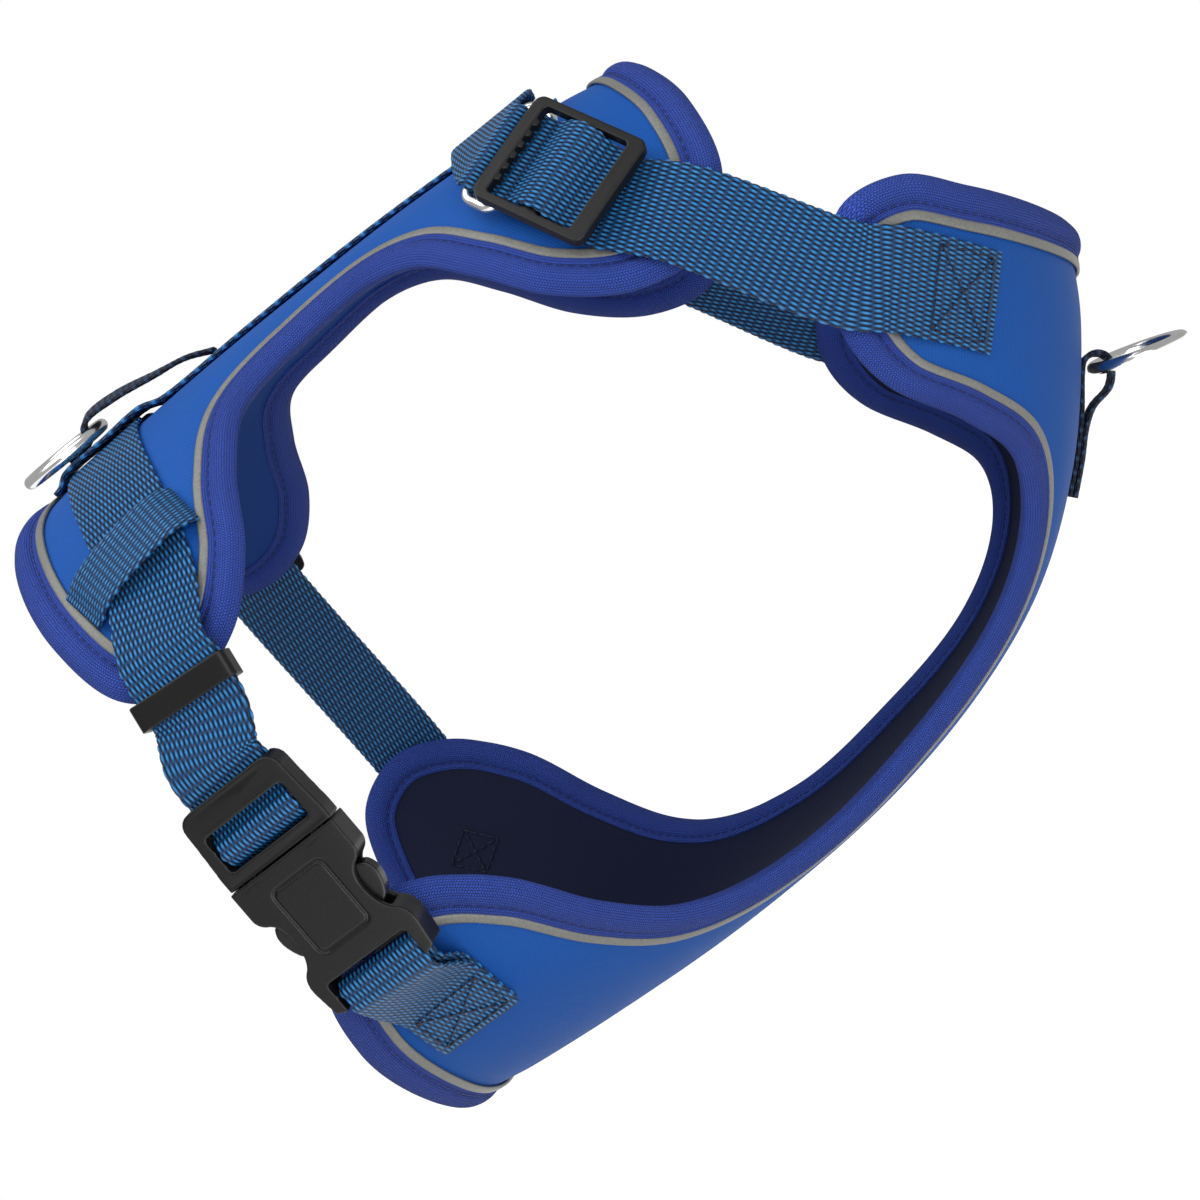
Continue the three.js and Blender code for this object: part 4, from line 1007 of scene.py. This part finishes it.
def neck_webbing(name, side, frame_at):
    strap(f"neck_adjuster_turn_{name}", [flat_on(frame_at, *p) for p in HUMP], NECK_WEB,
          f"adjuster_{name}", f"neck_hump_{name}")
    route = [
        flat_on(frame_at, -7, STRAP_UNDER), flat_on(frame_at, 0, STRAP_UNDER),
        flat_on(frame_at, 6, STRAP_UNDER + 0.4),
        *turn(frame_at, LOOP_LOW_BAR, LOOP_UNDER, FOLD, 90, -90),
        *(flat_on(frame_at, y, STRAP_UNDER + z, out_sign=-1) for y, z in ((6, -2.6), (-3, -2), (-13, -1.3))),
        on(back, side, 0.0935, 0.0905, ON_PAD + 3.8 * MM, -1),
        *(on(chest, side, u, a, ON_PAD + rise * MM, -1) for u, a, rise in (
            (0.0095, 0.104, 2.6), (0.0115, 0.095, 2.4), (0.015, 0.084, 0.8), (0.018, 0.075, 0),
            (0.0205, 0.0675, 0))),
    ]
    strap(f"neck_webbing_{name}", route, NECK_WEB, "root", f"neck_strap_{name}")
    sewn_box(f"neck_webbing_stitches_{name}", route[::-1], NECK_WEB, 2.5 * MM, 19 * MM, -1)
    along_spine, along_loop = vec(1, 0, 0), -side * frame_at[:, 0]
    tab = [
        *((*on(back, side, 0.071, a, ON_PAD + rise * MM, -1), along_spine)
          for a, rise in ((0.0156, 0.4), (0.023, 1.2))),
        *((*point, along_loop) for point in turn(frame_at, LOOP_HIGH_BAR, LOOP_UNDER, FOLD, -155, -335)),
        (*on(back, side, 0.071, 0.025, ON_PAD + 5.6 * MM), along_spine),
        (*on(back, side, 0.071, 0.0156, OVER_WEB + 0.8 * MM), along_spine),
    ]
    strap(f"neck_anchor_{name}", tab, NECK_WEB, "root", f"neck_tab_{name}")


for neck_name, (neck_side, neck_frame) in NECK_SEATS.items():
    neck_webbing(neck_name, neck_side, neck_frame)

FRONT_RING_U = 0.0345
FRONT_FOLD = RING_CLEAR + WEB_THICK / 2
FRONT_RING_OFF = ON_PAD + FRONT_FOLD


def on_keel(u, off, lean=0.0, out_sign=1):
    at = chest(vec(u), 0.0, off)[0]
    out = outward(chest, vec(u), vec(1e-5))[0]
    along = unit(chest(vec(u + MM), 0.0, off)[0] - at)
    return at, out_sign * unit(out + along * lean)


front_centre = chest(vec(FRONT_RING_U), 0.0, FRONT_RING_OFF)[0]
front_tab = [on_keel(u, ON_PAD + 0.2 * MM, out_sign=-1) for u in (0.070, 0.060, 0.0485)]
for fold_angle in np.radians(np.arange(-90, -271, -36)):
    fold_u = FRONT_RING_U + FRONT_FOLD * math.cos(fold_angle)
    fold_at = chest(vec(fold_u), 0.0, FRONT_RING_OFF + FRONT_FOLD * math.sin(fold_angle))[0]
    front_tab.append((fold_at, unit(fold_at - front_centre)))
front_tab += [
    on_keel(0.0395, FRONT_RING_OFF + FRONT_FOLD - 0.5 * MM, 0.3), on_keel(0.045, OVER_WEB + 1.6 * MM, 0.5),
    on_keel(0.0505, OVER_WEB + 0.1 * MM, 0.1), on_keel(0.060, OVER_WEB), on_keel(0.070, OVER_WEB),
]
strap("front_leash_tab", front_tab, TAB_WEB, "root", "leash_tab_front",
      TAB_WEBBING, "tab_webbing", cell=TAB_WEAVE)


# ---- Hardware --------------------------------------------------------------------------------
VOXEL = 0.27                    # hard pieces are shaped in millimetres in their own seat


def rounded_box(x, y, w, h, r, steps=5):
    """A rectangle with arcs at its corners, anticlockwise."""
    points = []
    for right, top, start in ((1, -1, -90), (1, 1, 0), (-1, 1, 90), (-1, -1, 180)):
        for angle in np.radians(np.linspace(start, start + 90, steps + 1)):
            points.append((x + right * (w / 2 - r) + r * math.cos(angle),
                           y + top * (h / 2 - r) + r * math.sin(angle)))
    return points


def bend(start, control, end, count=7):
    """Points along a quadratic curve, without its first one."""
    t = np.linspace(0, 1, count + 1)[1:, None]
    return [tuple(p) for p in vec(*start) * (1 - t) ** 2 + 2 * vec(*control) * t * (1 - t) + vec(*end) * t**2]


def mirrored(right_half):
    """A whole outline from its right half, given from the lower end up."""
    return right_half + [(-x, y) for x, y in right_half[::-1]]


def plate(outline, low, high):
    count = len(outline)
    points = [(x, y, z) for z in (low, high) for x, y in outline]
    faces = [tuple(range(count))[::-1], tuple(range(count, 2 * count))]
    faces += [(i, (i + 1) % count, count + (i + 1) % count, count + i) for i in range(count)]
    return mesh_object("plate", points, faces)


def combined(solid, others, operation="DIFFERENCE"):
    for other in others:
        boolean = solid.modifiers.new("Boolean", "BOOLEAN")
        boolean.operation, boolean.object, boolean.solver = operation, other, "EXACT"
    applied(solid)
    for other in others:
        bpy.data.objects.remove(other)
    return solid


def moulded_piece(name, solid, frame_at, material, body, slot, node, rounding=4, crown=0.0, keep=0.3):
    """Rounds a solid's edges as a mould does, crowns its faces and sets it in its seat."""
    remesh = solid.modifiers.new("Remesh", "REMESH")
    remesh.mode, remesh.voxel_size = "VOXEL", VOXEL
    relax = solid.modifiers.new("Smooth", "SMOOTH")
    relax.factor, relax.iterations = 0.5, rounding
    decimate = solid.modifiers.new("Decimate", "DECIMATE")
    decimate.ratio = keep
    applied(solid)
    p = np.array([v.co for v in solid.data.vertices], float)
    reach = np.abs(p[:, 0]) / np.abs(p[:, 0]).max()
    p[:, 2] *= 1 - crown * reach**4
    p = p * MM @ frame_at[:, :3].T + frame_at[:, 3]
    solid.data.vertices.foreach_set("co", p.astype(np.float32).ravel())
    solid.data.shade_smooth()
    solid.data.update()
    solid.name = solid.data.name = name
    return finished(solid, body, slot, material, node)


MALE_BASE = 9.5
BAR_LOW, BAR_HIGH = 16.6, 19.6


def male_half():
    corner = rounded_box(12.2, 28, 8, 8, 4)[6:12]
    outline = mirrored([(17.2, MALE_BASE), (17.2, 13), *bend((17.2, 13), (16.6, 20), (16.2, 27)), *corner])
    body = combined(plate(outline, -4, 4), [
        plate(rounded_box(0, (BAR_HIGH + 24.4) / 2, 26.4, 24.4 - BAR_HIGH, 1.4), -6, 6),
        plate(rounded_box(0, (BAR_LOW + 13.4) / 2, 26.4, BAR_LOW - 13.4, 1.2), -6, 6),
        plate(rounded_box(0, 28, 26.4, 9, 0.5), -6, 0.4),
        plate(rounded_box(0, 18, 26.4, 8, 0.5), -6, -0.9),
        plate(rounded_box(0, 18.1, 26.4, 4, 0.5), 1.9, 6),
    ])
    blade = plate(rounded_box(0, -1, 4.4, 22, 1), -2, 2)
    combined(body, [blade], "UNION")
    moulded_piece("buckle_male_half", body, BUCKLE, PLASTIC, "buckle_male",
                  "buckle_plastic", "buckle_male", 4, 0.14)


def prong(name, side, body):
    outline = [
        (9, 9.2), (12.2, 9.2), (12.6, -3), (15.4, -4.6), *bend((15.4, -4.6), (18.2, -8), (14.6, -14)),
        *bend((14.6, -14), (12.4, -16.4), (9.6, -15.4)), *bend((9.6, -15.4), (9.2, -6), (9, 9.2)),
    ]
    outline = [(side * x, y) for x, y in outline]
    moulded_piece(f"buckle_catch_{name}", plate(outline, -2.6, 2.6), BUCKLE, GLOSSY_PLASTIC, body,
                  "buckle_plastic", f"buckle_prong_{name}", 5, 0.3, 0.4)


def female_half():
    side = [
        (13.6, -32), (16.4, -31), (17.4, -24), *bend((17.4, -24), (17.8, -20), (15.4, -18)),
        *bend((15.4, -18), (12.4, -16), (12, -10)), *bend((12, -10), (11.6, -5), (14.4, -3)),
        *bend((14.4, -3), (17, -2), (17.4, 0.5)), (17.4, 9.2),
    ]
    channels = []
    for face in (-1, 1):
        ring = plate(rounded_box(0, -6.5, 17.4, 21, 2.4), *sorted((face * 4.4, face * 6)))
        channels.append(combined(ring, [plate(rounded_box(0, -6.5, 15.6, 19.2, 1.6), -7, 7)]))
    body = combined(plate(mirrored(side), -5, 5), [
        plate(rounded_box(0, -3.4, 30.4, 27.4, 1), -3.1, 3.1),
        plate(rounded_box(0, -25.6, 26.4, 4.4, 1.2), -6, 6),
        plate(rounded_box(0, -31, 26.4, 7, 0.5), 1.6, 6),
        plate(rounded_box(0, -31, 26.4, 7, 0.5), -6, -1.6),
        *channels,
    ])
    moulded_piece("buckle_female_half", body, BUCKLE, PLASTIC, "root",
                  "buckle_plastic", "buckle_female", 4, 0.12)


def strap_keeper():
    tall = (2 * WEB_THICK + 7 * GAP) / MM
    body = combined(plate(rounded_box(0, 0, 29.4, tall + 2.4, 1.7), -3.6, 3.6),
                    [plate(rounded_box(0, 0, 25.8, tall, 0.5), -5, 5)])
    on_edge = np.stack([KEEPER[:, 0], -KEEPER[:, 2], KEEPER[:, 1], KEEPER[:, 3]], 1)
    moulded_piece("girth_strap_keeper", body, on_edge, PLASTIC, "strap_keeper", "buckle_plastic",
                  "strap_keeper_right", 3)


def tri_glide(name, frame_at, width, body, node):
    opening = width / MM + 1.4
    frame_plate = combined(plate(rounded_box(0, 0, opening + 5, 34.6, 2.8), -1.7, 1.7), [
        plate(rounded_box(0, 7.8, opening, 11.6, 1.2), -4, 4),
        plate(rounded_box(0, -7.2, opening, 10.6, 1.2), -4, 4),
    ])
    teeth = [plate(rounded_box(x, 13.5, 2.0, 1.8, 0.3), -1.1, 1.1) for x in np.linspace(-9, 9, 6)]
    combined(frame_plate, teeth, "UNION")
    moulded_piece(name, frame_plate, frame_at, PLASTIC, body, "buckle_plastic", node, 3, 0.08, 0.35)


male_half()
prong("front", 1, "prong_front")
prong("rear", -1, "prong_rear")
female_half()
strap_keeper()
tri_glide("girth_tri_glide", LEFT_SLIDER, GIRTH_WEB, "girth_slider", "girth_slider_left")
for neck_name, (_, neck_frame) in NECK_SEATS.items():
    tri_glide(f"neck_tri_glide_{neck_name}", neck_frame, NECK_WEB,
              f"adjuster_{neck_name}", f"neck_adjuster_{neck_name}")


def wire(name, path, normals, radius, body, node, sides=20):
    """A closed wire of round section."""
    along = unit(np.roll(path, -1, 0) - np.roll(path, 1, 0))
    side = np.cross(along, normals)
    turns = np.linspace(0, 2 * math.pi, sides, endpoint=False)
    ring = side[:, None] * np.cos(turns)[:, None] + normals[:, None] * np.sin(turns)[:, None]
    grid = path[:, None] + radius * ring
    finished(swept(name, grid, closed=True), body, "ring_steel", STEEL, node)


def steel_loop(name, frame_at):
    height = LOOP_HIGH_BAR - LOOP_LOW_BAR
    outline = rounded_box(0, (LOOP_LOW_BAR + LOOP_HIGH_BAR) / 2, NECK_WEB / MM + 4.4, height, 2.6, 10)
    outline = spaced(np.array(outline + outline[:1]), 121)[:-1]
    path = np.stack([within(frame_at, x * MM, y * MM, LOOP_UNDER * MM) for x, y in outline])
    normals = np.tile(frame_at[:, 2], (len(path), 1))
    wire(f"neck_steel_loop_{name}", path, normals, LOOP_WIRE, "root", f"neck_loop_{name}")


for neck_name, (_, neck_frame) in NECK_SEATS.items():
    steel_loop(neck_name, neck_frame)


def leash_ring(name, pivot, away, lean, body, node):
    """A welded ring whose wire lies in its tab, leaning a little to the right side."""
    away, across = unit(worn(away, pivot[0])), unit(worn(vec(0, 1, 0), pivot[0]))
    up = np.cross(away, across)
    tilt = math.radians(lean)
    across, up = across * math.cos(tilt) + up * math.sin(tilt), up * math.cos(tilt) - across * math.sin(tilt)
    centre = pivot + away * (RING_RADIUS - 0.7 * MM)
    turns = np.linspace(0, 2 * math.pi, 96, endpoint=False)[:, None]
    path = centre + RING_RADIUS * (away * np.cos(turns) + across * np.sin(turns))
    wire(name, path, np.tile(up, (96, 1)), RING_WIRE, body, node, 24)


back_pivot = back(vec(BACK_RING_X), 0.0, BACK_RING_OFF)[0]
leash_ring("back_ring", back_pivot, vec(-1, 0, 0), -5, "ring_back", "leash_ring_back")
leash_ring("front_ring", front_centre, vec(0.954, 0, -0.3), 7, "ring_front", "leash_ring_front")
